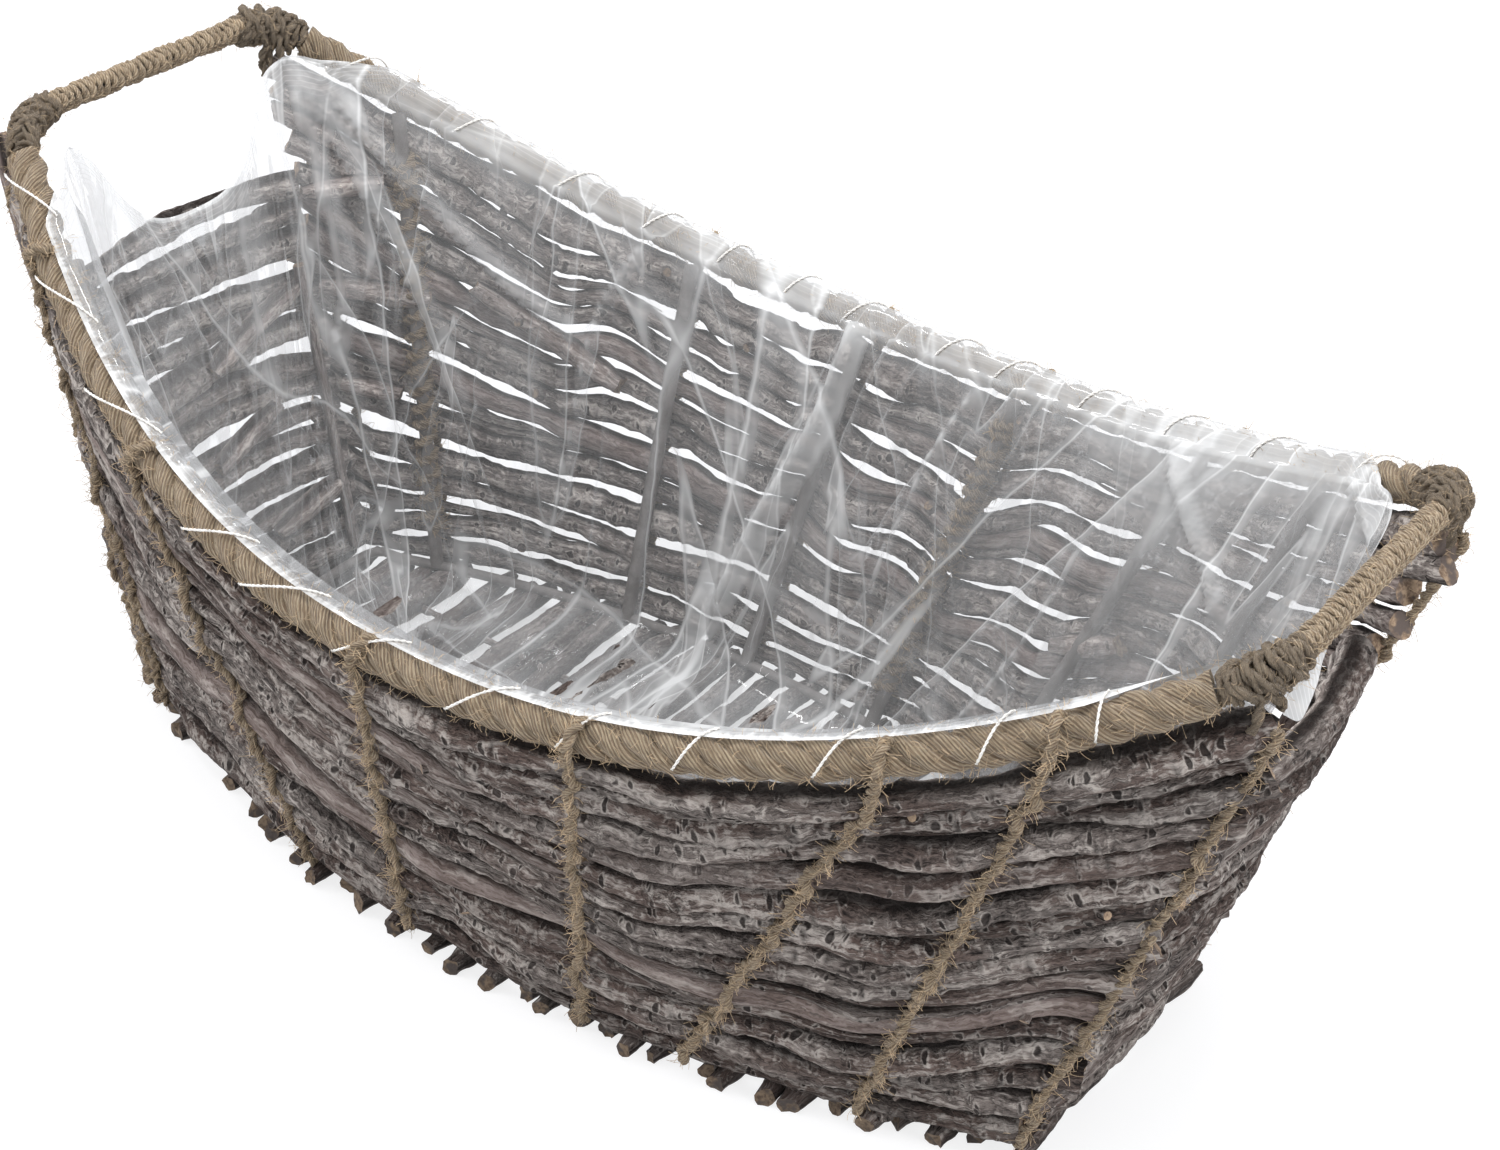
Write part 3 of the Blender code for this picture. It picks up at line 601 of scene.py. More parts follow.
# Long walls: thirteen courses in the middle, with short sticks wedged in where the walls rise
walls = {
    "outside": 0.0025, "uneven": ((0.70, 0.30, 1.7), (0.52, 0.12, 1)), "sway": 0.0012, "weave": 0.0018,
    "fill": {-1: 0.95, 1: 0.75}, "pinch": {-1: 0.05, 1: 0.36}, "pinchLength": 0.042, "crook": {-1: 1.0, 1: 1.45},
    "thickest": 0.0066, "thinnest": 0.0014,
    "gapUnderRope": {-1: (0.32, 0.42, 0.74, 0.86, 0.30), 1: (-0.34, -0.27, -0.15, -0.08, 0.42)},
    "reach": 0.056, "topReach": 0.020, "hiddenReach": 0.018,
    "bladeCourses": {-1: (2, 6, 9), 1: (3, 8)}, "bladeOverlap": 0.10, "bladeShift": 0.0016,
    "peeledCourses": {-1: (2, 8), 1: (4, 7)},
    "shortRows": (2, 6, 10, 14), "shortStart": 0.44,
    "slivers": 17, "sliverOut": 0.0048, "sliverSize": (0.0020, 0.0033), "sliverSway": 0.0012, "sliverStep": 0.0018,
    # lapping ends: from and to along the wall, and from and to down it
    "laps": ((-0.985, -0.86, 0.30, 0.20), (-0.985, -0.80, 0.47, 0.40), (-0.98, -0.87, 0.66, 0.64),
             (-0.72, -0.46, 0.33, 0.42), (0.50, 0.62, 0.58, 0.50)),
    "endLaps": ((0.02, 0.93, 0.56, 0.46), (-0.12, 0.52, 0.735, 0.665), (0.30, 0.96, 0.90, 0.84)),
    "lapOut": -0.0058, "lapRadii": (0.0040, 0.0047), "endLapRadii": (0.0044, 0.0038), "endLapBow": 0.0095,
    "cornerOut": 0.0066, "cornerRadii": (0.0034, 0.0044, 0.0026),
    "cornerPath": ((-1.01, -1.012, -1.0, -0.985), (0.03, 0.14, 0.28, 0.42)),
}
longRows = [row for row in range(basket["endSlots"]) if row not in walls["shortRows"]]


def wallPlan(u, side):
    # middle share and half thickness of every row; the short rows only open towards the ends
    u = np.asarray(u, float)
    opened = np.clip((np.minimum(np.abs(u), 1) ** 2.18 - 0.12) / 0.88, 0, 1)
    weights = []
    for row in range(basket["endSlots"]):
        salt = 90 + 40 * side + row
        slow, quick = (amount * lineNoise(u / length + shift * row, salt + 17 * k)
                       for k, (amount, length, shift) in enumerate(walls["uneven"]))
        weight = np.exp(slow + quick)
        weights.append(weight * (opened if row in walls["shortRows"] else 1))
    weights = np.array(weights)
    first, full, last, shut, size = walls["gapUnderRope"][side]
    gap = size * smooth(first, full, u) * smooth(shut, last, u)
    span = (lowestShare(u) - topShare) * wallLength(u) + 2 * basket["stickRadius"]
    total = weights.sum(0) + gap
    down = span * (gap + np.cumsum(weights, 0) - weights / 2) / total - basket["stickRadius"]
    return topShare + down / wallLength(u), np.minimum(span * weights / total / 2, walls["thickest"])


def rowPoint(row, u, side, phases):
    # the path, half thickness and outward direction of a row's stick
    share, half = wallPlan(u, side)
    key = int(phases[0] * 1000)
    sway = walls["sway"] * lineNoise(u / 0.17 + phases[1], key)
    weave = 0.8 * lineNoise(u / 0.30 + phases[3], key + 2) + 0.4 * lineNoise(u / 0.11, key + 3)
    pinch = 1 + walls["pinch"][side] * lineNoise(u / walls["pinchLength"] + phases[2], key + 5)
    path = wallPoint(u, share[row] + sway / wallLength(u), side, walls["outside"] + walls["weave"] * weave)
    return path, half[row] * ((walls["fill"][side] if row else 1.0) * pinch), wallNormal(u, share[row], side)


crests = {}


def makeLongSticks(sideName, side):
    for course in range(basket["courses"]):
        crests[side, course] = []
        rng = np.random.default_rng(31 * course + 7 * (side + 1))
        phases = rng.uniform(0, 6.3, 4)
        reach = walls["reach"] if course else walls["topReach"]
        low, high = 1 + reach * rng.uniform(0.4, 1.0, 2) * (1, 1 - 0.055 * course)
        if side == 1 and course < 5:
            low = 1 + walls["hiddenReach"] * rng.uniform(-0.6, 0.5)
        if side == 1 and course > 2:
            high = 1 + walls["hiddenReach"] * rng.uniform(-0.3, 0.6)
        peeled = 0.9 if course in walls["peeledCourses"][side] else max(0.0, rng.uniform(-0.5, 0.35))
        runs = [(-low, high, ("cut", "cut"), 0.0)]
        if course in walls["bladeCourses"][side]:
            middle = rng.uniform(-0.3, 0.45)
            runs = [(-low, middle + walls["bladeOverlap"], ("cut", "blade"), -walls["bladeShift"]),
                    (middle - walls["bladeOverlap"], high, ("blade", "cut"), walls["bladeShift"])]
        pile = newPile()
        for number, (first, last, tips, shift) in enumerate(runs):
            u = np.linspace(first, last, 90)
            path, size, face = rowPoint(longRows[course], u, side, phases + number)
            if shift:
                path[:, 2] += shift * smooth(0.30, 0.0, np.abs(u - middle))
            laid = barkTube(pile, path, size, 1000 * (side + 2) + 17 * course + number, 0.1 if number else peeled,
                            tips, crook=walls["crook"][side], tint=rng.uniform(-1, 1), face=face)
            crests[side, course].append(laid)
        name = f"{sideName}_stick_{course + 1:02d}"
        finishPile(pile, f"{name}_bark", "stick", [bark, cutWood], name)


def makeShortSticks(sideName, side):
    for endName, end in ends.items():
        pile = newPile()
        for number, row in enumerate(walls["shortRows"]):
            rng = np.random.default_rng(500 + 13 * number + 3 * side + end)
            start = walls["shortStart"] + rng.uniform(-0.06, 0.12)
            reach = walls["hiddenReach" if side == 1 else "reach"]
            u = end * np.linspace(start, 1 + reach * rng.uniform(0.3, 1.1), 30)
            path, size, face = rowPoint(row, u, side, rng.uniform(0, 6.3, 4))
            barkTube(pile, path, np.maximum(size, walls["thinnest"]), 700 + 41 * number + 5 * side + end,
                     max(0.0, rng.uniform(-0.4, 0.6)), ("blade", "cut"), tint=rng.uniform(-1, 1), face=face)
        finishPile(pile, f"{sideName}_{endName}_short_sticks", "stick", [bark, cutWood])


def makeSlivers(sideName, side):
    # thin split sticks pressed into the grooves between the rows
    pile = newPile()
    for number in range(walls["slivers"]):
        rng = np.random.default_rng(620 + 29 * number + side)
        row = 1 + (number * 5) % (basket["endSlots"] - 2)
        start = rng.uniform(-0.92, 0.55)
        u = np.linspace(start, start + rng.uniform(0.25, 0.60), 24)
        share, half = wallPlan(u, side)
        groove = share[row] + half[row] / wallLength(u) * rng.choice((-0.9, 0.9))
        sway = walls["sliverSway"] * lineNoise(u / 0.10, 5 + number)
        path = wallPoint(u, groove + sway / wallLength(u), side, walls["sliverOut"])
        barkTube(pile, path, [rng.uniform(*walls["sliverSize"])] * 2, 640 + 13 * number + side,
                 rng.choice((0.0, 0.2, 0.9)), ("blade", "blade"), tint=rng.uniform(-1, 1), around=14, stubs=False,
                 gap=walls["sliverStep"], face=wallNormal(u, groove, side))
    finishPile(pile, f"{sideName}_split_sticks", "stick", [bark, cutWood])


def makeLaps():
    # ends of crosswise sticks that lie over the back wall and the left end wall, inside
    pile = newPile()
    snapped = {"tips": ("snapped", "snapped"), "around": 16}
    for number, (first, last, high, low) in enumerate(walls["laps"]):
        u = np.linspace(first, last, 8)
        share = np.linspace(high, low, 8)
        barkTube(pile, wallPoint(u, share, 1, walls["lapOut"]), walls["lapRadii"], 830 + 7 * number, 0.45,
                 tint=(4.5, 3.0)[number % 2], face=wallNormal(u, share, 1), **snapped)
    for number, (first, last, high, low) in enumerate(walls["endLaps"]):
        across = np.linspace(first, last, 8)
        share = np.linspace(high, low, 8)
        path = endPoint(share, -1)
        path[:, 1] += across * endHalfWidth(share, -1)
        path[:, 0] -= walls["endLapBow"] * (1 - across ** 2) + walls["lapOut"]
        barkTube(pile, path, walls["endLapRadii"], 911 + 7 * number, 0.4, tint=(4.5, 3.5)[number % 2],
                 face=np.array([[-1, 0, 0.2]] * 2), **snapped)
    u, share = map(np.array, walls["cornerPath"])
    barkTube(pile, wallPoint(u, share, -1, walls["cornerOut"]), walls["cornerRadii"], 871, 0.9, ("snapped", "blade"),
             tint=1.6, face=np.array([[-1.0, -1.0, 0]] * 2))
    finishPile(pile, "lapping_sticks", "stick", [bark, cutWood])


for sideName, side in sides.items():
    makeLongSticks(sideName, side)
    makeShortSticks(sideName, side)
    makeSlivers(sideName, side)
makeLaps()
print("long walls")

# End walls and floor
crossSticks = {
    "room": 0.0118, "bow": 0.0095, "overlap": 0.005, "underFilm": 0.010, "pinch": 0.24, "wave": 0.0022,
    "unevenness": 0.0024, "postRadius": 0.0020, "postReach": (0.42, 0.97), "postInside": 0.0062, "postFromEnd": 0.005,
}
floorSticks = {
    "count": 35, "over": (0.0140, 0.0085), "short": 0.0105, "sway": 0.0040, "radius": 0.0048, "step": 0.0020,
    "height": 0.0046, "startHeight": (0.0038, 0.0052), "ground": 0.0001,
    "runnerY": 0.045, "runnerHeight": 0.0042, "runnerRadius": 0.0013,
}


def makeEndWalls():
    first = (basket["handHoleDepth"] + basket["stickRadius"] + crossSticks["underFilm"]) / endDrop
    last = (basket["handleHeight"] - basket["floorTop"] - basket["stickGap"] - basket["stickRadius"]) / endDrop
    length = (last - first) * float(np.linalg.norm(endPoint(1.0, 1) - endPoint(0.0, 1)))
    count = 1 + int(length / crossSticks["room"])
    across = np.linspace(-1, 1, 25)
    for endName, end in ends.items():
        pile = newPile()
        for i in range(count):
            rng = np.random.default_rng(900 + i + 50 * end)
            share = first + (last - first) * i / (count - 1)
            half = float(endHalfWidth(np.array(share), end)) + crossSticks["overlap"]
            path = np.repeat(endPoint(share, end)[None], 25, 0)
            path[:, 0] += end * crossSticks["bow"] * (1 - across ** 2)
            path[:, 1] += across * half
            path[:, 2] += (crossSticks["wave"] * np.sin(2.4 * across + rng.uniform(0, 6))
                           + rng.uniform(-crossSticks["unevenness"], crossSticks["unevenness"]) * min(i, 1))
            size = basket["stickRadius"] * (0.72 + 0.54 * rng.random() + 0.20 * across * rng.choice((-1, 1)))
            size = size * (1 + crossSticks["pinch"] * lineNoise(across / 0.15 + 9 * i, 900 + i))
            barkTube(pile, path, size, 3000 + 19 * i + end, max(0.0, rng.uniform(-0.6, 0.5)),
                     tint=rng.uniform(-1, 1), face=np.array([[end, 0, 0.2]] * 2))
        for side in sides.values():
            share = np.linspace(*crossSticks["postReach"], 8)
            post = endPoint(share, end)
            post[:, 0] -= end * crossSticks["postInside"]
            post[:, 1] = side * (endHalfWidth(share, end) - crossSticks["postFromEnd"])
            barkTube(pile, post, [crossSticks["postRadius"]] * 2, 3900 + side, 0.6, crook=0.3, tint=0.6, around=10,
                     stubs=False)
        finishPile(pile, f"{endName}_cross_sticks", "stick", [bark, cutWood], f"{endName}_end_wall")


def makeFloor():
    pile = newPile()
    reach = footX + basket["stickRadius"]
    for i in range(floorSticks["count"]):
        rng = np.random.default_rng(4000 + i)
        x = -reach + 2 * reach * i / (floorSticks["count"] - 1)
        u = min(abs(x) / footX, 1)
        half = float(basePoint(np.array(u), 1)[1]) + taper(*floorSticks["over"], u, basket["basePlanPower"])
        short = floorSticks["short"] * rng.random(2) ** 0.8
        xs = x + rng.uniform(-floorSticks["sway"], floorSticks["sway"], 3)
        zs = (rng.uniform(*floorSticks["startHeight"]), floorSticks["height"], floorSticks["height"])
        size = floorSticks["radius"] * rng.uniform(0.68, 1.06)
        barkTube(pile, np.stack([xs, (-half + short[0], 0, half - short[1]), zs], -1),
                 [size, size * rng.uniform(0.85, 1.1)], 4100 + i, rng.uniform(0, 0.5), ("snapped", "snapped"),
                 crook=1.9, tint=rng.uniform(-1, 0.6), around=12, stubs=False, gap=floorSticks["step"],
                 face=np.array([[0, 0, 1.0]] * 2))
    for side in sides.values():
        path = [(x, side * floorSticks["runnerY"], floorSticks["runnerHeight"]) for x in (-reach, 0, reach)]
        barkTube(pile, path, [floorSticks["runnerRadius"]] * 2, 4200 + side, 0.5, crook=0.1, around=8, stubs=False)
    for verts in pile["verts"]:
        verts[:, 2] = np.maximum(verts[:, 2], floorSticks["ground"])
    finishPile(pile, "floor_sticks", "stick", [floorBark, darkCut], "floor")


makeEndWalls()
makeFloor()
print("end walls and floor")


# Jute
juteColours = {
    "dark": (0.190, 0.126, 0.080, 1), "mid": (0.385, 0.292, 0.192, 1), "pale": (0.630, 0.515, 0.365, 1),
    "fibre": (0.640, 0.480, 0.315, 1),
}
threadColours = {"dark": (0.78, 0.75, 0.71, 1), "mid": (0.90, 0.88, 0.85, 1), "pale": (0.95, 0.94, 0.92, 1)}


def makeJuteGroup():
    colours = {label: ("Color", juteColours[label.lower()]) for label in ("Dark", "Mid", "Pale")}
    tree, given, result = newGroup("juteYarn", {"Space": ("Vector", None), "Yarns": ("Float", 9.0), **colours},
                                   {"Colour": "Color", "Height": "Float"})
    parts = shaderNode(tree, "SeparateXYZ", {0: given["Space"]}).outputs
    turn = calc(tree, "ARCTAN2", parts[1], parts[0])
    groove = calc(tree, "COSINE", multiply(tree, turn, given["Yarns"]))
    streak = grainAt(tree, given["Space"], (7.0, 7.0, 210.0), 4.0, 0.65)
    fine = grainAt(tree, given["Space"], (21.0, 21.0, 420.0), 2.0, 0.6)
    blotch = grainAt(tree, given["Space"], (1.2, 1.2, 45.0))
    # painted shade in the grooves between the yarns, and a little painted highlight on their crests
    paintedGrooveShade = oneMinus(tree, step(tree, groove, -1.0, -0.35))
    body = mixColour(tree, step(tree, streak, 0.34, 0.66), given["Dark"], given["Mid"])
    body = mixColour(tree, step(tree, multiplyAdd(tree, groove, 0.10, fine), 0.42, 0.72), body, given["Pale"])
    body = mixColour(tree, multiply(tree, step(tree, blotch, 0.55, 0.75), 0.4), body, given["Dark"])
    body = mixColour(tree, multiply(tree, paintedGrooveShade, 0.45), body, given["Dark"])
    height = multiplyAdd(tree, groove, 0.35, multiplyAdd(tree, streak, 0.9, multiply(tree, fine, 0.6)))
    feed(tree, result, {"Colour": body, "Height": height})
    return tree


juteGroup = makeJuteGroup()


def makeJute(name, yarns, shade, relief, colours=juteColours):
    made, tree, shader = newMaterial(name)
    values = {label: shaded(colours[label.lower()], shade) for label in ("Dark", "Mid", "Pale")}
    values.update(Yarns=yarns, Space=attributeOf(tree, "laySpace", "Vector"))
    yarn = shaderNode(tree, "Group", values, node_tree=juteGroup).outputs
    feed(tree, shader.inputs, {"Base Color": yarn["Colour"], "Roughness": 0.92, "Specular IOR Level": 0.2,
                               "Sheen Weight": 0.15, "Sheen Roughness": 0.5,
                               "Normal": bump(tree, yarn["Height"], 1.0, relief)})
    return made


def makeFibreMaterial():
    made, tree, shader = newMaterial("looseJute")
    share = step(tree, noiseAt(tree, objectSpace(tree), 160.0), 0.38, 0.62)
    body = mixColour(tree, share, juteColours["mid"], juteColours["fibre"])
    feed(tree, shader.inputs, {"Base Color": body, "Roughness": 0.85})
    return made


ropeJute = makeJute("ropeJute", 14.0, 0.74, 0.00075)
handleJute = makeJute("handleJute", 5.0, 1.08, 0.00050)
twineJute = makeJute("twineJute", 5.0, 0.88, 0.00045)
threadMaterial = makeJute("sewingThread", 4.0, 1.0, 0.0001, threadColours)
fibreMaterial = makeFibreMaterial()


def makeCordTree():
    # strands laid round each other along a path
    sizes = {"Strand Radius": 0.003, "Lay Radius": 0.0035, "Lay Length": 0.036, "Step": 0.0018,
             "Yarn Turn": -240.0, "Unevenness": 0.0004, "Loose Turn": 3.6, "Seed": 0.0}
    inputs = {"Path": ("Geometry", None), "Strands": ("Int", 3), "Sides": ("Int", 12), "Material": ("Material", None),
              **{label: ("Float", value) for label, value in sizes.items()}}
    tree, given, result = newGroup("laidCord", inputs, {"Cord": "Geometry"}, "GeometryNodeTree")

    def store(geometry, name, value, kind="FLOAT_VECTOR"):
        values = {"Geometry": geometry, "Name": name, "Value": value}
        return geometryNode(tree, "StoreNamedAttribute", values, data_type=kind, domain="POINT")

    def stored(name, kind="FLOAT_VECTOR"):
        return geometryNode(tree, "InputNamedAttribute", {"Name": name}, data_type=kind)

    path = geometryNode(tree, "ResampleCurve", {"Curve": given["Path"], "Length": given["Step"]}, mode="LENGTH")
    length = addNode(tree, "GeometryNodeSplineParameter").outputs["Length"]
    turn = multiply(tree, calc(tree, "DIVIDE", length, given["Lay Length"]), 2 * math.pi)
    loose = shaderNode(tree, "TexNoise", {"W": addUp(tree, length, given["Seed"]), "Scale": 90.0, "Detail": 1.0},
                       noise_dimensions="1D").outputs["Fac"]
    turn = multiplyAdd(tree, loose, given["Loose Turn"], turn)
    path = store(geometryNode(tree, "SetCurveTilt", {"Curve": path, "Tilt": turn}), "along", length, "FLOAT")
    # the cross-section: a circle for each strand
    number = geometryNode(tree, "InputIndex")
    turn = multiply(tree, calc(tree, "DIVIDE", number, given["Strands"]), 2 * math.pi)
    spot = vectorOf(tree, *(multiply(tree, calc(tree, way, turn), given["Lay Radius"]) for way in ("COSINE", "SINE")))
    spots = geometryNode(tree, "Points", {"Count": given["Strands"], "Position": spot})
    circle = geometryNode(tree, "CurvePrimitiveCircle",
                          {"Resolution": given["Sides"], "Radius": given["Strand Radius"]}, mode="RADIUS")
    circle = store(circle, "around", geometryNode(tree, "InputPosition"))
    profile = geometryNode(tree, "InstanceOnPoints", {"Points": spots, "Instance": circle})
    profile = geometryNode(tree, "RealizeInstances", {"Geometry": profile})
    cord = geometryNode(tree, "CurveToMesh", {"Curve": path, "Profile Curve": profile, "Fill Caps": True})
    along = stored("along", "FLOAT")
    parts = shaderNode(tree, "SeparateXYZ", {0: stored("around")}).outputs
    angle = multiplyAdd(tree, along, given["Yarn Turn"], calc(tree, "ARCTAN2", parts[1], parts[0]))
    lay = vectorOf(tree, calc(tree, "COSINE", angle), calc(tree, "SINE", angle), addUp(tree, along, given["Seed"]))
    cord = store(cord, "laySpace", lay)
    shift = vectorCalc(tree, "ADD", geometryNode(tree, "InputPosition"), vectorOf(tree, given["Seed"]))
    wobble = calc(tree, "SUBTRACT", noiseAt(tree, shift, 260.0, 1.0), 0.5)
    offset = scaled(tree, geometryNode(tree, "InputNormal"), multiply(tree, wobble, given["Unevenness"]))
    cord = geometryNode(tree, "SetPosition", {"Geometry": cord, "Offset": offset})
    cord = geometryNode(tree, "SetShadeSmooth", {"Geometry": cord, "Shade Smooth": True})
    cord = geometryNode(tree, "RealizeInstances", {"Geometry": cord})
    cord = geometryNode(tree, "SetMaterial", {"Geometry": cord, "Material": given["Material"]})
    feed(tree, result, {"Cord": cord})
    return tree


def makeFibreTree():
    # short loose fibres that stand off a cord
    inputs = {"Cord": ("Geometry", None), "Density": ("Float", 60000.0), "Length": ("Float", 0.005),
              "Thickness": ("Float", 0.00008), "Seed": ("Int", 1), "Material": ("Material", None)}
    tree, given, result = newGroup("looseFibres", inputs, {"Cord": "Geometry"}, "GeometryNodeTree")

    def randomVector(low, high, seed):
        values = {"Min": low, "Max": high, "Seed": seed}
        return addNode(tree, "FunctionNodeRandomValue", values, data_type="FLOAT_VECTOR").outputs[0]

    scattered = {"Mesh": given["Cord"], "Density": given["Density"], "Seed": given["Seed"]}
    spread = addNode(tree, "GeometryNodeDistributePointsOnFaces", scattered).outputs
    bent = {"Resolution": 4, "Start": (0, 0, -0.05), "Middle": (0.25, 0.1, 0.45), "End": (0.75, -0.2, 0.7)}
    size = scaled(tree, randomVector((0.3, 0.3, 0.15), (1.3, 1.3, 1.0), given["Seed"]), given["Length"])
    placed = {"Points": spread["Points"], "Instance": geometryNode(tree, "CurveQuadraticBezier", bent),
              "Rotation": spread["Rotation"], "Scale": size}
    hairs = geometryNode(tree, "InstanceOnPoints", placed)
    turned = randomVector((-0.7, -0.7, 0.0), (0.7, 0.7, 6.28), 4)
    hairs = geometryNode(tree, "RotateInstances", {"Instances": hairs, "Rotation": turned})
    hairs = geometryNode(tree, "RealizeInstances", {"Geometry": hairs})
    ring = geometryNode(tree, "CurvePrimitiveCircle", {"Resolution": 3, "Radius": given["Thickness"]}, mode="RADIUS")
    hairs = geometryNode(tree, "CurveToMesh", {"Curve": hairs, "Profile Curve": ring, "Fill Caps": True})
    hairs = geometryNode(tree, "SetMaterial", {"Geometry": hairs, "Material": given["Material"]})
    both = tree.nodes.new("GeometryNodeJoinGeometry")
    tree.links.new(hairs, both.inputs[0])
    tree.links.new(given["Cord"], both.inputs[0])
    feed(tree, result, {"Cord": both.outputs[0]})
    return tree


cordTree = makeCordTree()
fibreTree = makeFibreTree()


def cordFrom(name, paths, cord, material, fibres=None):
    # the cord along each path, as one plain mesh
    curve = bpy.data.curves.new(name, "CURVE")
    curve.dimensions = "3D"
    for path in paths:
        spline = curve.splines.new("POLY")
        spline.points.add(len(path) - 1)
        spline.points.foreach_set("co", np.hstack([path, np.ones((len(path), 1))]).astype(np.float32).ravel())
    guide = link(bpy.data.objects.new(name + "_path", curve))
    layers = [("laidCord", cordTree, {**cord, "Material": material})]
    if fibres:
        layers.append(("looseFibres", fibreTree, {**fibres, "Material": fibreMaterial}))
    for label, group, values in layers:
        modifier = guide.modifiers.new(label, "NODES")
        modifier.node_group = group
        for item in group.interface.items_tree:
            if item.item_type == "SOCKET" and item.in_out == "INPUT" and item.name in values:
                modifier[item.identifier] = values[item.name]
    mesh = bpy.data.meshes.new_from_object(guide.evaluated_get(bpy.context.evaluated_depsgraph_get()))
    mesh.name = name
    for key in ("along", "around"):
        if key in mesh.attributes:
            mesh.attributes.remove(mesh.attributes[key])
    bpy.data.objects.remove(guide, do_unlink=True)
    bpy.data.curves.remove(curve)
    return bpy.data.objects.new(name, mesh)


rimRope = {
    "cord": {"Strands": 3, "Strand Radius": 0.0040, "Lay Radius": 0.0027, "Lay Length": 0.036, "Step": 0.0013,
             "Sides": 18, "Yarn Turn": -60.0, "Unevenness": 0.0020, "Loose Turn": 0.6},
    "fibres": {"Density": 90000.0, "Length": 0.0048, "Thickness": 0.00007, "Seed": 3},
    "alongRim": 0.016, "tuck": 0.003, "points": 420,
}


def ropeFrame(u, side):
    # the rope's centre, the way out of the basket and the way up
    u = np.asarray(u, float)
    out = wallNormal(u, 0.0, side)
    return rimPoint(u, side), out, np.cross(out, rimDirection(u, side)) * -side


def aroundRope(u, side, radius, degrees):
    # points round the rope; 0 degrees is outward, 90 is up and 180 is inward
    centre, out, up = ropeFrame(u, side)
    angle = np.radians(degrees)[:, None]
    return centre + radius * (out * np.cos(angle) + up * np.sin(angle))


def makeRimRopes():
    share = 1 - (rimRope["alongRim"] - rimRope["tuck"]) / handleX
    for sideName, side in sides.items():
        centre = rimPoint(np.linspace(-share, share, rimRope["points"]), side)
        name = f"{sideName}_rim_rope"
        rope = cordFrom(name + "_jute", [centre], {**rimRope["cord"], "Seed": 3.0 + side}, ropeJute, rimRope["fibres"])
        settle(rope, "jute", name)


makeRimRopes()
print("rim ropes")

# Ties: two-ply twine over the rope and down over the sticks
ties = {
    "cord": {"Strands": 2, "Strand Radius": 0.00128, "Lay Radius": 0.00090, "Lay Length": 0.0095, "Step": 0.0010,
             "Sides": 8, "Yarn Turn": -560.0, "Unevenness": 0.0006},
    "fibres": {"Density": 150000.0, "Length": 0.0052, "Thickness": 0.00009, "Seed": 5},
    # top and foot of each tie along the wall
    "front": [(-0.975, -0.975), (-0.82, -0.90), (-0.50, -0.37), (-0.05, -0.11), (0.27, 0.27), (0.63, 0.46),
              (0.80, 0.76), (1.020, 1.020)],
    "back": [(-0.975, -0.975), (-0.82, -0.84), (-0.35, -0.41), (-0.04, -0.12), (0.25, 0.20), (0.60, 0.50),
             (0.81, 0.81), (1.020, 1.020)],
    # over the rope: heights above it, angles from inside to outside, and places along the rim
    "above": (-0.0030, -0.0012, 0.0010, 0.0016, 0.0016, 0.0014, 0.0012, 0.0012),
    "fromAngle": {-1: 112, 1: 60}, "toAngle": -8, "skew": (0.018, -0.004),
    "zigzag": 0.0020, "hold": 38.0, "press": 0.0014, "cornerPress": 0.0004,
    "lashed": (1, 4), "lashReach": (0.10, 0.92), "lashRadius": 0.0034, "lashTurns": 21, "lashPoints": 520,
}


def nearestStick(side, course, point):
    # the centre and thickness of the course's stick where it passes the point
    found = []
    for line, radius in crests[side, course]:
        away = np.linalg.norm(line - point, axis=1)
        i = int(np.argmin(away))
        found.append((away[i], tuple(line[i]), radius[i]))
    _, spot, radius = min(found)
    return np.array(spot), radius


def makeLashings():
    paths = []
    share = np.linspace(0, 1, ties["lashPoints"])[:, None]
    for number in ties["lashed"]:
        start, finish = (wallPoint(np.array(u), t, 1, -basket["uprightInside"])
                         for u, t in zip(ties["back"][number], ties["lashReach"]))
        line = start + (finish - start) * share
        _, across, upward = carry(line)
        angle = 2 * math.pi * ties["lashTurns"] * share + 3.5 * lineNoise(share * 19, 3 + number)
        paths.append(line + (across * np.cos(angle) + upward * np.sin(angle)) * ties["lashRadius"])
    settle(cordFrom("upright_lashings", paths, {**ties["cord"], "Seed": 31.0}, twineJute,
                    {**ties["fibres"], "Density": 90000.0}), "jute")


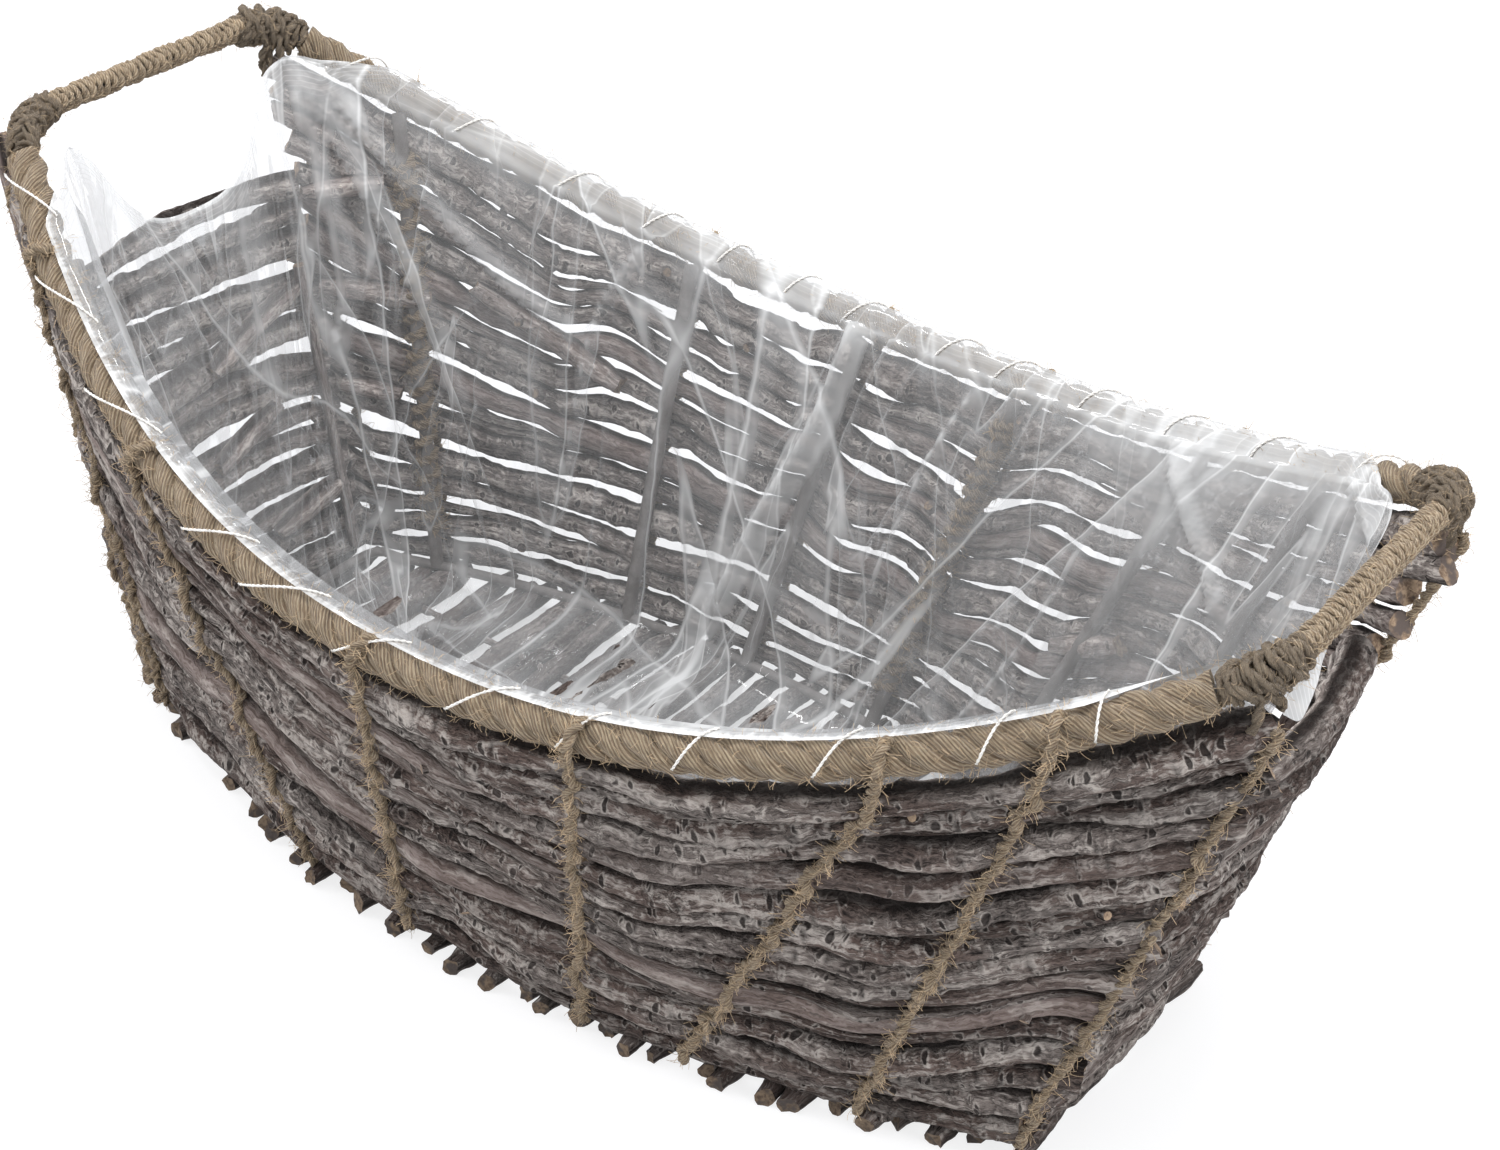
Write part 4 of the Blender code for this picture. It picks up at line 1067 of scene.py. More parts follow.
def makeTies():
    hold = math.radians(ties["hold"])
    for sideName, side in sides.items():
        for number, (top, foot) in enumerate(ties[sideName], 1):
            rng = np.random.default_rng(60 * number + side)
            atCorner = abs(top) >= 0.9
            points = []
            if not atCorner:
                count = len(ties["above"])
                above = np.array(ties["above"])[:, None]
                degrees = np.linspace(ties["fromAngle"][side], ties["toAngle"], count)
                points += list(aroundRope(top + np.linspace(*ties["skew"], count), side,
                                          basket["ropeRadius"] + above, degrees))
            slant = (foot - top) * handleX / float(wallLength(np.array(top)))
            for course in range(basket["courses"]):
                u = np.array(top + (foot - top) * course / (basket["courses"] - 1))
                t = float(wallPlan(u, side)[0][longRows[course]])
                normal = wallNormal(u, t, side)
                down = unit(basePoint(u, side) - rimPoint(u, side))
                spot, radius = nearestStick(side, course, wallPoint(u, t, side, walls["outside"]))
                spot = spot + normal * max(0.0, walls["outside"] - float((spot - wallPoint(u, t, side)) @ normal))
                reach = radius + ties["cornerPress" if atCorner else "press"]
                sway = ties["zigzag"] * rng.uniform(-0.2, 1.0) + slant * reach * math.sin(hold)
                sway = rimDirection(u, side) * sway
                for turn in (-1, 0, 1):
                    outward = normal * math.cos(hold * turn) + down * math.sin(hold * turn)
                    points.append(spot + outward * reach + sway * turn)
            name = f"{sideName}_tie_{number}"
            tie = cordFrom(name + "_twine", [evenPath(np.array(points), ties["cord"]["Step"])],
                           {**ties["cord"], "Seed": 1.7 * number + side}, twineJute, {**ties["fibres"], "Seed": number})
            settle(tie, "jute", name)


makeTies()
makeLashings()
print("ties")

# Handles: twine wound closely round the bar
handles = {
    "cord": {"Strands": 2, "Strand Radius": 0.00108, "Lay Radius": 0.00066, "Lay Length": 0.0120, "Step": 0.0012,
             "Sides": 7, "Yarn Turn": -500.0, "Unevenness": 0.0006},
    "fibres": {"Density": 30000.0, "Length": 0.0040, "Thickness": 0.00007, "Seed": 8},
    "pitch": 0.0035, "radius": 0.0032, "half": 0.052, "slant": 0.0017, "loose": 0.00035, "uneven": 0.0004,
}


def makeHandles():
    turns = 2 * handles["half"] / handles["pitch"]
    angle = np.linspace(0, 2 * math.pi * turns, int(turns * 20))
    y = -handles["half"] + handles["pitch"] * angle / (2 * math.pi)
    for endName, end in ends.items():
        radius = handles["radius"] + handles["loose"] * lineNoise(angle / 2.3, 5 + end)
        radius = radius + handles["uneven"] * lineNoise(y / 0.012, 9 + end)
        path = np.stack([end * handleX + radius * np.cos(angle), y + handles["slant"] * np.cos(angle),
                         basket["handleHeight"] + radius * np.sin(angle)], -1)
        winding = cordFrom(f"{endName}_handle_twine", [path], {**handles["cord"], "Seed": 11.0 + end}, handleJute,
                           handles["fibres"])
        settle(winding, "jute", f"{endName}_handle_winding")


makeHandles()
print("handles")

# Corners: bundles of twine where the rim turns into the handle
corners = {
    "cord": {"Strands": 2, "Strand Radius": 0.00112, "Lay Radius": 0.00066, "Lay Length": 0.0110, "Step": 0.0012,
             "Sides": 6, "Yarn Turn": -500.0, "Unevenness": 0.0008},
    "fibres": {"Density": 32000.0, "Length": 0.0055, "Thickness": 0.00006, "Seed": 12},
    "alongRim": 0.0125, "alongHandle": 0.017, "spineStep": 0.0004, "step": 0.0011, "tails": 4, "tailFrom": 0.0080,
    # layers of winding: pitch, radius, way round and how far they lean
    "layers": ((0.0034, 0.0060, 1, 0.0), (0.0042, 0.0076, -1, 0.0045), (0.0070, 0.0088, 1, 0.0060)),
    "size": {("front", "left"): 0.60, ("front", "right"): 0.72, ("back", "left"): 0.82, ("back", "right"): 0.84},
}


def cornerPath(side, end, count):
    corner = rimPoint(np.array(float(end)), side)
    start = rimPoint(np.array(end * (1 - corners["alongRim"] / handleX)), side)
    finish = corner - np.array([0, side * corners["alongHandle"], 0])
    s = np.linspace(0, 1, count)[:, None]
    return (1 - s) ** 2 * start + 2 * s * (1 - s) * corner + s ** 2 * finish


def makeCorners():
    for endName, end in ends.items():
        for sideName, side in sides.items():
            rng = np.random.default_rng(80 + 3 * end + side)
            spine = evenPath(cornerPath(side, end, 9), corners["spineStep"])
            tangent, across, upward = carry(spine)
            thick = corners["size"][sideName, endName]
            paths = []
            length = len(spine) * corners["spineStep"]
            for layer, (pitch, radius, direction, slope) in enumerate(corners["layers"]):
                turns = length / pitch * (1 - 0.16 * layer)
                count = int(turns * 18)
                along = np.linspace(0.01 + 0.09 * layer, 0.99 - 0.09 * layer, count)
                angle = direction * np.linspace(0, 2 * math.pi * turns, count) + rng.uniform(0, 6)
                arch = np.sin(math.pi * along)
                lean = slope * np.sin(angle + rng.uniform(0, 6)) * arch ** 0.5 / length
                at = np.clip((along + lean) * (len(spine) - 1), 0, len(spine) - 1).astype(int)
                bulge = radius * thick * (0.80 + 0.20 * arch) + 0.0006 * lineNoise(angle / 2.6, 31 + layer)
                ring = across[at] * np.cos(angle)[:, None] + upward[at] * np.sin(angle)[:, None]
                paths.append(evenPath(spine[at] + ring * bulge[:, None], corners["step"]))
            for tail in range(corners["tails"]):
                angle = rng.uniform(0, 6.28)
                at = int(rng.uniform(0.25, 0.75) * len(spine))
                out = across[at] * math.cos(angle) + upward[at] * math.sin(angle)
                start = spine[at] + out * corners["tailFrom"] * thick
                first = start + out * 0.002 + tangent[at] * rng.uniform(-0.006, 0.006) + np.array([0, 0, -0.004])
                last = first + np.array([0, 0, -rng.uniform(0.003, 0.008)]) + rng.uniform(-0.002, 0.002, 3)
                paths.append(evenPath(np.array([start - out * 0.002, start, first, last]), 0.001))
            name = f"{sideName}_{endName}_corner_binding"
            seed = end + 2 * side
            bundle = cordFrom(name + "_twine", paths, {**corners["cord"], "Seed": 21.0 + seed}, ropeJute,
                              {**corners["fibres"], "Seed": 20 + seed})
            settle(bundle, "jute", name)


makeCorners()
print("corners")

# Inside frame: smooth grey rods on the base hoop
rods = {"radius": 0.0028, "hoopRadius": 0.0020, "underRope": 0.0003, "topShare": 0.6, "endGap": 0.0002}


def makeRodMaterial():
    made, tree, shader = newMaterial("greyRod")
    rust = noiseAt(tree, objectSpace(tree), 90.0, 4.0, 0.6)
    body = mixColour(tree, step(tree, rust, 0.40, 0.66), (0.165, 0.148, 0.138, 1), (0.285, 0.262, 0.248, 1))
    feed(tree, shader.inputs, {"Base Color": body, "Roughness": multiplyAdd(tree, rust, 0.3, 0.35), "Metallic": 0.12,
                               "Normal": bump(tree, rust, 0.4, 0.0003)})
    return made


greyRod = makeRodMaterial()


def plainTube(pile, path, radius, gap=0.004):
    line = evenPath(path, gap)
    _, across, upward = carry(line)
    grid = line[:, None] + ringAround(across, upward, circleAngles(12)) * radius
    addTube(pile, grid, grid)


def makeRods():
    endX = footX - basket["uprightInside"]
    for sideName, side in sides.items():
        pile = newPile()
        hoop = wallPoint(np.linspace(-1, 1, 25), 1.0, side, -basket["uprightInside"])
        hoop[:, 0] = np.clip(hoop[:, 0], -endX, endX)
        hoop[:, 2] = basket["hoopHeight"]
        tail = np.array([[-endX, side * rods["endGap"], basket["hoopHeight"]]])
        plainTube(pile, np.vstack([tail, hoop, tail * (-1, 1, 1)]), rods["hoopRadius"])
        for top, foot in ties[sideName][1:-1]:
            clear = (basket["ropeRadius"] + rods["underRope"] + rods["radius"]) / float(wallLength(np.array(top)))
            start = wallPoint(np.array(top), clear * rods["topShare"], side, -basket["uprightInside"])
            finish = wallPoint(np.array(foot), 1.0, side, -basket["uprightInside"])
            finish[2] = basket["hoopHeight"]
            plainTube(pile, np.array([start, (start + finish) / 2, finish]), rods["radius"], 0.02)
        finishPile(pile, f"{sideName}_rods", "wire", [greyRod, greyRod], f"{sideName}_base_frame")


makeRods()
for materialSlot in bpy.data.objects["rim_wire"].material_slots:
    materialSlot.material = greyRod
print("rods")

# Film liner
film = {
    # the sheet's grid: columns along a long side and an end, rows down the walls and over the floor
    "long": 200, "end": 76, "rows": 80, "floorRows": 34, "longReach": 0.975, "endReach": 0.95,
    "floorGap": 0.0009, "spineInside": 0.075, "holeGap": 0.0006, "cutWidth": 0.95, "cutPower": 3.4,
    # over the rope: rows, the angle where they start, and where they end in front and behind
    "rimRows": 9, "fromAngle": 178, "overRope": {-1: 94.0, 1: 58.0}, "ropeGap": 0.0008, "rimLift": 0.0012,
    "foldRange": (-0.0006, 0.011), "clearance": 0.0012, "rightHaze": 0.34,
    # folds in the film: direction in degrees, how close across and along, strength
    "creases": [(0, 27, 2.2, 0.40), (28, 30, 3.0, 0.34), (-32, 24, 2.8, 0.34), (82, 20, 3.5, 0.24),
                (12, 70, 7, 0.26), (-20, 60, 8, 0.24)],
    "cornerDrop": 0.003, "hornReach": 0.0035, "flat": (0.50, 0.72), "area": 0.31,
    # the flap at the right hand-hole: three lines of points, from its root to its edge
    "flap": [[(0.2460, -0.052, 0.2190), (0.2470, -0.044, 0.2195), (0.2475, -0.034, 0.2195), (0.2470, -0.026, 0.2180)],
             [(0.2490, -0.053, 0.2130), (0.2510, -0.045, 0.2115), (0.2510, -0.035, 0.2125), (0.2490, -0.026, 0.2160)],
             [(0.2510, -0.054, 0.2080), (0.2540, -0.047, 0.2035), (0.2530, -0.038, 0.2065), (0.2500, -0.026, 0.2145)]],
    # folds on the walls: side, points (u, t), half width, height, milkiness
    "folds": [
        (1, [(-0.033, -0.03), (-0.064, 0.30), (-0.137, 0.625), (-0.196, 0.93)], 0.0058, 0.0050, 0.62),
        (1, [(0.560, -0.02), (0.600, 0.08), (0.736, 0.25), (0.80, 0.36)], 0.0050, 0.0026, 0.26),
        (1, [(0.860, -0.03), (0.93, 0.05), (1.03, 0.14)], 0.0050, 0.0022, 0.20),
        (1, [(-0.967, 0.02), (-0.95, 0.20), (-0.93, 0.42), (-0.98, 0.62)], 0.0050, 0.0040, 0.40),
        (1, [(-0.955, 0.02), (-0.90, 0.16), (-0.80, 0.40), (-0.74, 0.66)], 0.0045, 0.0035, 0.32),
        (1, [(-0.94, 0.00), (-0.84, 0.12), (-0.66, 0.26), (-0.50, 0.34)], 0.0040, 0.0030, 0.30),
        (1, [(0.20, 0.02), (0.155, 0.30), (0.125, 0.68)], 0.0030, 0.0022, 0.18),
        (1, [(-0.42, 0.02), (-0.50, 0.30), (-0.56, 0.80)], 0.0030, 0.0022, 0.20),
        (1, [(0.50, 0.30), (0.47, 0.62), (0.40, 0.90)], 0.0035, 0.0026, 0.22),
        (-1, [(-0.90, 0.02), (-0.70, 0.30), (-0.62, 0.62)], 0.0040, 0.0030, 0.30),
        (-1, [(-0.30, 0.02), (-0.36, 0.40), (-0.30, 0.85)], 0.0034, 0.0026, 0.22),
        (-1, [(0.45, 0.02), (0.40, 0.42), (0.48, 0.80)], 0.0034, 0.0026, 0.22),
        (-1, [(0.92, 0.04), (0.74, 0.32), (0.66, 0.66)], 0.0042, 0.0030, 0.28),
    ],
}


def filmTopShare(u):
    return film["cornerDrop"] / wallLength(u) * np.clip((np.abs(u) - 0.86) / 0.08, 0, 1)


def filmEndX(share, end):
    return endPoint(share, end)[..., 0] - end * (basket["stickRadius"] + 0.0046) * 1.04


def bell(sigma):
    # weights of a soft average and how far they reach
    reach = int(3 * sigma)
    weight = np.exp(-0.5 * (np.arange(-reach, reach + 1) / sigma) ** 2)
    return weight / weight.sum(), reach


def periodicSmooth(grid, sigma):
    weight, reach = bell(sigma)
    return sum(w * np.roll(grid, k, axis=1) for w, k in zip(weight, range(-reach, reach + 1)))


def endSmooth(grid, sigma):
    weight, reach = bell(sigma)
    padded = np.concatenate([np.repeat(grid[:1], reach, 0), grid, np.repeat(grid[-1:], reach, 0)])
    return sum(w * padded[k:k + len(grid)] for k, w in enumerate(weight))


def filmGrid():
    # the sheet's points: down the walls, round all four sides, and on to the middle of the floor
    edge = (basket["handHoleDepth"] + film["holeGap"]) / endDrop
    corner = film["cornerDrop"] / endDrop
    u = np.linspace(-film["longReach"], film["longReach"], film["long"])
    across = np.linspace(-film["endReach"], film["endReach"], film["end"])
    rows = []
    for v in np.linspace(0, 1, film["rows"]):
        parts = []
        for side, order in ((-1, u), (1, u[::-1])):
            top = filmTopShare(order)
            run = wallPoint(order, top + (1 - top) * v, side, -basket["filmInside"])
            share = (basket["handleHeight"] - run[:, 2]) / endDrop
            limit = np.abs(filmEndX(share, 1)) + film["hornReach"] * smooth(0.16, 0.02, share)
            run[:, 0] = np.clip(run[:, 0], -limit, limit)
            end = -side
            cut = np.clip(np.abs(across) / film["cutWidth"], 0, 1) ** film["cutPower"]
            top = corner + (edge - corner) * (1 - cut)
            share = top + (1 - top) * v
            half = endHalfWidth(share, end) - 0.005
            parts += [run, np.stack([filmEndX(share, end), end * across * half, endPoint(share, end)[:, 2]], -1)]
        rows.append(np.concatenate(parts))
    grid = periodicSmooth(np.stack(rows), 3.4)
    foot = grid[-1]
    inside = footX - film["spineInside"]
    spine = np.stack([np.clip(foot[:, 0], -inside, inside), foot[:, 0] * 0, foot[:, 2]], -1)
    inner = [foot + (spine - foot) * s for s in np.linspace(0, 1, film["floorRows"] + 1)[1:]]
    grid = np.concatenate([grid, np.stack(inner)])
    floorHeight = basket["floorTop"] + film["floorGap"]
    grid[film["rows"] - 1:, :, 2] = floorHeight
    row = np.arange(len(grid))
    blend = smooth(6, 14, row)[:, None, None] * smooth(0, 8, len(grid) - 1 - row)[:, None, None]
    grid = grid + (endSmooth(grid, 4.0) - grid) * blend
    grid[..., 2] = np.maximum(grid[..., 2], floorHeight)
    return grid, u


def overRimRows(grid, u):
    # the film's upper edge, drawn over the rope in front and behind
    count = film["rimRows"]
    extra = np.repeat(grid[:1], count, 0)
    for side, order, first in ((-1, u, 0), (1, u[::-1], film["long"] + film["end"])):
        columns = first + np.arange(film["long"])
        centre, out, up = ropeFrame(order, side)
        share = 1 - np.clip((np.abs(order) - 0.84) / 0.09, 0, 1)
        for k in range(count):
            turn = (film["overRope"][side] - film["fromAngle"]) * (k / (count - 1))
            angle = math.radians(film["fromAngle"] + turn)
            over = centre + (basket["ropeRadius"] + film["ropeGap"]) * (out * math.cos(angle) + up * math.sin(angle))
            rise = grid[0, columns] + up * film["rimLift"] * (k + 1) / count
            extra[k, columns] = rise + (over - rise) * share[:, None]
    return np.concatenate([extra[::-1], grid])


def creaseField(around, down, seed):
    # sharp folds between flat facets: triangle waves in several directions, each strong only in places
    total = 0.0
    rng = np.random.default_rng(seed)
    spot = np.stack([around, down, around * 0 + 0.3], -1)
    warp = softNoise(spot * 14, seed + 1)
    for k in range(9):
        angle = rng.uniform(-0.75, 0.75) + (math.pi / 2 if k % 4 == 3 else 0)
        wavelength = rng.uniform(0.022, 0.085)
        phase = (around * math.cos(angle) + down * math.sin(angle)) / wavelength + 0.45 * warp + rng.uniform(0, 1)
        wave = np.abs(phase % 1 - 0.5) * 2
        strength = smooth(0.0, 0.7, softNoise(spot * rng.uniform(9, 16) + 11 * k, seed + 5 + k))
        height = wavelength * rng.uniform(0.016, 0.034)
        total = total + strength * height * (wave - 0.5)
    return total


def foldStrips(grid):
    # raised, milky straps where the film is folded over itself; one edge of each is sharp, with a painted highlight
    # along it
    columns = grid.shape[1]
    height, milk, line = fields = np.zeros((3, *grid.shape[:2]))
    reach = {-1: np.arange(film["long"] + film["end"]), 1: np.arange(film["long"], columns)}
    for side, points, half, tall, milky in film["folds"]:
        path = evenPath([wallPoint(np.array(u), t, side, -basket["filmInside"]) for u, t in points], 0.004)
        at = slice(film["rimRows"], film["rimRows"] + film["rows"]), reach[side]
        part = grid[at]
        best = np.full(part.shape[:2], 1.0)
        signed, share = np.zeros((2, *best.shape))
        for i in range(len(path) - 1):
            run = path[i + 1] - path[i]
            away = part - path[i]
            along = np.clip(np.sum(away * run, -1) / (run @ run), 0, 1)
            off = away - along[..., None] * run
            distance = np.linalg.norm(off, axis=-1)
            closer = distance < best
            across = np.cross(run, (0.0, float(-side), 0.0))
            best = np.where(closer, distance, best)
            signed = np.where(closer, distance * np.sign(np.sum(off * across, -1)), signed)
            share = np.where(closer, (i + along) / (len(path) - 1), share)
        x = signed / (half * (1 + 0.30 * lineNoise(share * 5, int(half * 1e6))))
        ends = smooth(0.0, 0.06, share) * smooth(1.0, 0.90, share)
        ramp = np.clip((x + 1) / 1.55, 0, 1) * smooth(1.0, 0.55, x)
        height[at] = np.maximum(height[at], tall * ramp * ends)
        milk[at] = np.maximum(milk[at], milky * smooth(-1.1, -0.7, x) * smooth(1.05, 0.8, x) * ends)
        # painted highlight: a thin bright line along the fold's sharp edge
        line[at] = np.maximum(line[at], np.exp(-((x - 0.72) / 0.16) ** 2) * ends)
    return fields


def filmFlap():
    # the flap that hangs out of the right hand-hole
    def evenLines(lines, count):
        lengths = [np.linalg.norm(np.diff(line, axis=0), axis=1).sum() for line in lines]
        return np.stack([evenPath(line, length / count)[:count + 1] for line, length in zip(lines, lengths)])

    flap = evenLines(np.array(film["flap"]), 27)
    flap = evenLines(flap.transpose(1, 0, 2), 9).transpose(1, 0, 2)
    flap[..., 0] += 0.0007 * softNoise(flap * 160, 71)
    return flap


def makeLiner():
    grid, u = filmGrid()
    grid = overRimRows(grid, u)
    rows, columns = grid.shape[:2]
    fold, milk, foldGlint = foldStrips(grid)
    stepAround = np.linalg.norm(np.roll(grid, -1, 1) - grid, axis=2)
    around = np.concatenate([np.zeros((rows, 1)), np.cumsum(stepAround, 1)[:, :-1]], 1)
    around = np.repeat(around[20:21], rows, 0)
    down = np.concatenate([np.zeros((1, columns)), np.cumsum(np.linalg.norm(np.diff(grid, axis=0), axis=2), 0)])
    normal = unit(np.cross(np.roll(grid, -1, 1) - np.roll(grid, 1, 1), np.gradient(grid, axis=0)))
    middle = np.array([0, 0, 0.12])
    normal *= np.sign(np.sum(normal * (middle - grid), -1, keepdims=True) + 1e-9)
    height = creaseField(around, down, 3)
    fade = smooth(8, 16, np.arange(rows))[:, None] * smooth(0, 10, rows - 1 - np.arange(rows))[:, None]
    inward = np.clip(height * fade + film["clearance"] * fade + fold, *film["foldRange"])
    grid = grid + normal * inward[..., None]
    spot = np.stack([around, down, around * 0], -1)
    milky = 0.5 + 0.5 * softNoise(spot * (16, 9, 1), 41)
    column = np.arange(columns)[None] - film["long"] - film["end"]
    behind = (column >= 0) & (column < film["long"])
    atEnd = ((column >= -film["end"]) & ~behind) * 1.0
    frayed = np.exp(-down / 0.020) * (0.7 + 0.6 * softNoise(spot * (90, 40, 1), 43))
    haze = 0.30 * behind * smooth(0.034, 0.018, down) + 0.40 * atEnd * frayed
    # the film is milkier towards the right of the back wall
    cloudy = smooth(0.0, 0.030, down) * (0.6 + 0.8 * smooth(0.25, 0.75, milky))
    haze = haze + film["rightHaze"] * behind * smooth(0.62, 0.12, column / film["long"]) * cloudy
    # the veil holds the film's milkiness and the painted highlights along the folds
    veilAndGlint = 0.16 * smooth(0.50, 0.95, milky) + 0.85 * milk + 0.36 * foldGlint + periodicSmooth(haze, 4.0)
    flap = filmFlap()
    index = np.arange(rows * columns).reshape(rows, columns)
    after = np.roll(index, -1, 1)
    flapIndex = rows * columns + np.arange(flap.shape[0] * flap.shape[1]).reshape(flap.shape[:2])
    quads = np.concatenate([np.stack(four, -1).reshape(-1, 4) for four in (
        (index[:-1], index[1:], after[1:], after[:-1]),
        (flapIndex[:-1, :-1], flapIndex[1:, :-1], flapIndex[1:, 1:], flapIndex[:-1, 1:]))])
    veilsAndGlints = np.concatenate([np.clip(veilAndGlint, 0, 1).ravel(), np.full(flapIndex.size, 0.25)])
    verts, spreads = (np.concatenate([one.reshape(-1, 3), flap.reshape(-1, 3)]) for one in (grid, spot))
    mesh = meshFrom("film_liner_sheet", verts, quads, np.zeros((0, 3), int), [filmMaterial], 0,
                    {"veilAndGlint": veilsAndGlints, "spread": spreads})
    return settle(bpy.data.objects.new("film_liner_sheet", mesh), "film", "film_liner")


def makeFilmMaterial():
    made, tree, shader = newMaterial("clearFilm")
    veilAndGlint = attributeOf(tree, "veilAndGlint")
    spread = attributeOf(tree, "spread", "Vector")
    down = shaderNode(tree, "SeparateXYZ", {0: spread}).outputs[1]
    spread = warped(tree, spread, 26.0, (0.009, 0.009, 0.0))
    cloud = grainAt(tree, spread, (34, 18, 20), 3.0, 0.55)
    fine = grainAt(tree, spread, (90, 46, 50))
    # soft folds: each has a thin bright line, a painted highlight along the crease, and a haze that fades away on one
    # side of it
    creaseHighlight, haze, height = 0.0, 0.0, multiply(tree, fine, 0.5)
    for number, (turn, across, along, strength) in enumerate(film["creases"]):
        spot = shaderNode(tree, "VectorRotate", {"Vector": spread, "Angle": math.radians(turn)},
                          rotation_type="Z_AXIS").outputs[0]
        spot = vectorCalc(tree, "MULTIPLY_ADD", spot, (across, along, 1.0),
                          (3.7 * number, 1.9 * number, 5.3 * number))
        wave = noiseAt(tree, spot, 1.0, 1.0, 0.35)
        patch = step(tree, noiseAt(tree, spot, 0.45, 1.0), 0.44, 0.60)
        near = calc(tree, "ABSOLUTE", calc(tree, "SUBTRACT", wave, 0.5))
        line = calc(tree, "POWER", oneMinus(tree, step(tree, near, 0.0, 0.020)), 2.0)
        line = multiply(tree, multiply(tree, line, patch), strength)
        fall = multiply(tree, step(tree, wave, 0.497, 0.505), oneMinus(tree, step(tree, wave, 0.505, 0.60)))
        creaseHighlight = calc(tree, "MAXIMUM", line, creaseHighlight)
        haze = multiplyAdd(tree, multiply(tree, fall, patch), strength * 0.42, haze)
        height = multiplyAdd(tree, multiply(tree, near, patch), -3.0, height)
    # the cut edge is cloudy, with a few fine lines along it
    fray = multiply(tree, grainAt(tree, spread, (500, 60, 60)), 0.0050)
    edge = oneMinus(tree, step(tree, addUp(tree, down, fray), 0.0026, 0.0056))
    ripple = calc(tree, "COSINE", multiplyAdd(tree, down, 3100.0, multiply(tree, cloud, 16.0)))
    ripple = multiply(tree, step(tree, ripple, 0.55, 1.0), oneMinus(tree, step(tree, down, 0.006, 0.018)))
    amount = multiplyAdd(tree, veilAndGlint, 0.46, 0.13)
    for value, weight in ((step(tree, cloud, 0.46, 0.74), 0.08), (edge, 0.32), (ripple, 0.12), (creaseHighlight, 0.8)):
        amount = multiplyAdd(tree, value, weight, amount)
    amount = addUp(tree, amount, haze)
    # the colour is whiter where the film is milky and where the creases carry their painted highlights
    milk = step(tree, addUp(tree, veilAndGlint, edge, haze, creaseHighlight), 0.10, 0.70)
    normal = bump(tree, height, 0.6, 0.0030)
    feed(tree, shader.inputs, {"Base Color": mixColour(tree, milk, (0.60, 0.605, 0.61, 1), (0.74, 0.745, 0.75, 1)),
                               "Roughness": 0.34, "Normal": normal})
    clear = shaderNode(tree, "BsdfTransparent", {"Color": (0.96, 0.965, 0.975, 1)})
    gloss = shaderNode(tree, "BsdfAnisotropic", {"Roughness": 0.09, "Color": (1, 1, 1, 1), "Normal": normal})
    facing = shaderNode(tree, "Fresnel", {"IOR": 1.45, "Normal": normal}).outputs[0]
    shine = calc(tree, "MINIMUM", multiply(tree, facing, 1.3), 0.34)
    skin = mixShader(tree, shine, clear, gloss)
    setSurface(tree, mixShader(tree, calc(tree, "MINIMUM", amount, 0.80), skin, shader))
    return made


filmMaterial = makeFilmMaterial()
liner = makeLiner()
print("film liner")

# White sewing thread over the rim
thread = {
    "cord": {"Strands": 2, "Strand Radius": 0.00032, "Lay Radius": 0.00024, "Lay Length": 0.004, "Step": 0.0012,
             "Sides": 5, "Yarn Turn": 0.0, "Unevenness": 0.0},
    "above": 0.0012, "angles": {-1: (12, 130), 1: (190, 20)}, "step": 0.001,
    # each stitch from and to along the rim
    "front": [(-0.93, -0.85), (-0.79, -0.69), (-0.62, -0.50), (-0.37, -0.27), (-0.25, -0.13), (-0.08, 0.01), (0.10, 0.18),
              (0.256, 0.309), (0.403, 0.447), (0.562, 0.612), (0.729, 0.770), (0.840, 0.860)],
    "back": [(-0.90, -0.84), (-0.74, -0.68), (-0.58, -0.515), (-0.44, -0.38), (-0.31, -0.27), (-0.19, -0.14), (-0.08, -0.02),
             (0.09, 0.15), (0.20, 0.26), (0.36, 0.41), (0.52, 0.57), (0.68, 0.73), (0.86, 0.90)],
}


def makeThread():
    for sideName, side in sides.items():
        degrees = np.linspace(*thread["angles"][side], 9)
        paths = [evenPath(aroundRope(np.linspace(first, last, 9), side, basket["ropeRadius"] + thread["above"],
                                     degrees), thread["step"]) for first, last in thread[sideName]]
        settle(cordFrom(f"{sideName}_sewing_thread", paths, thread["cord"], threadMaterial), "film")


makeThread()
print("thread")

# Camera, floor and soft light
camera = {"place": (0.4641, -0.6790, 0.6734), "up": (-0.37924, 0.42112, 0.82391),
          "forward": (-0.44192, 0.69988, -0.56113), "lens": 67.34, "sensor": 36}


def makeCamera():
    data = bpy.data.cameras.new("photoView")
    data.lens, data.sensor_width, data.sensor_fit = camera["lens"], camera["sensor"], "HORIZONTAL"
    view = link(bpy.data.objects.new("photoView", data))
    forward = Vector(camera["forward"]).normalized()
    up = Vector(camera["up"])
    up = (up - forward * up.dot(forward)).normalized()
    turn = Matrix((forward.cross(up), up, -forward)).transposed()
    view.matrix_world = Matrix.Translation(camera["place"]) @ turn.to_4x4()
    bpy.context.scene.camera = view


def cameraLike(tree):
    path = shaderNode(tree, "LightPath").outputs
    seen = addUp(tree, path["Is Camera Ray"], path["Is Glossy Ray"])
    return calc(tree, "ADD", seen, path["Is Transmission Ray"], clamp=True)


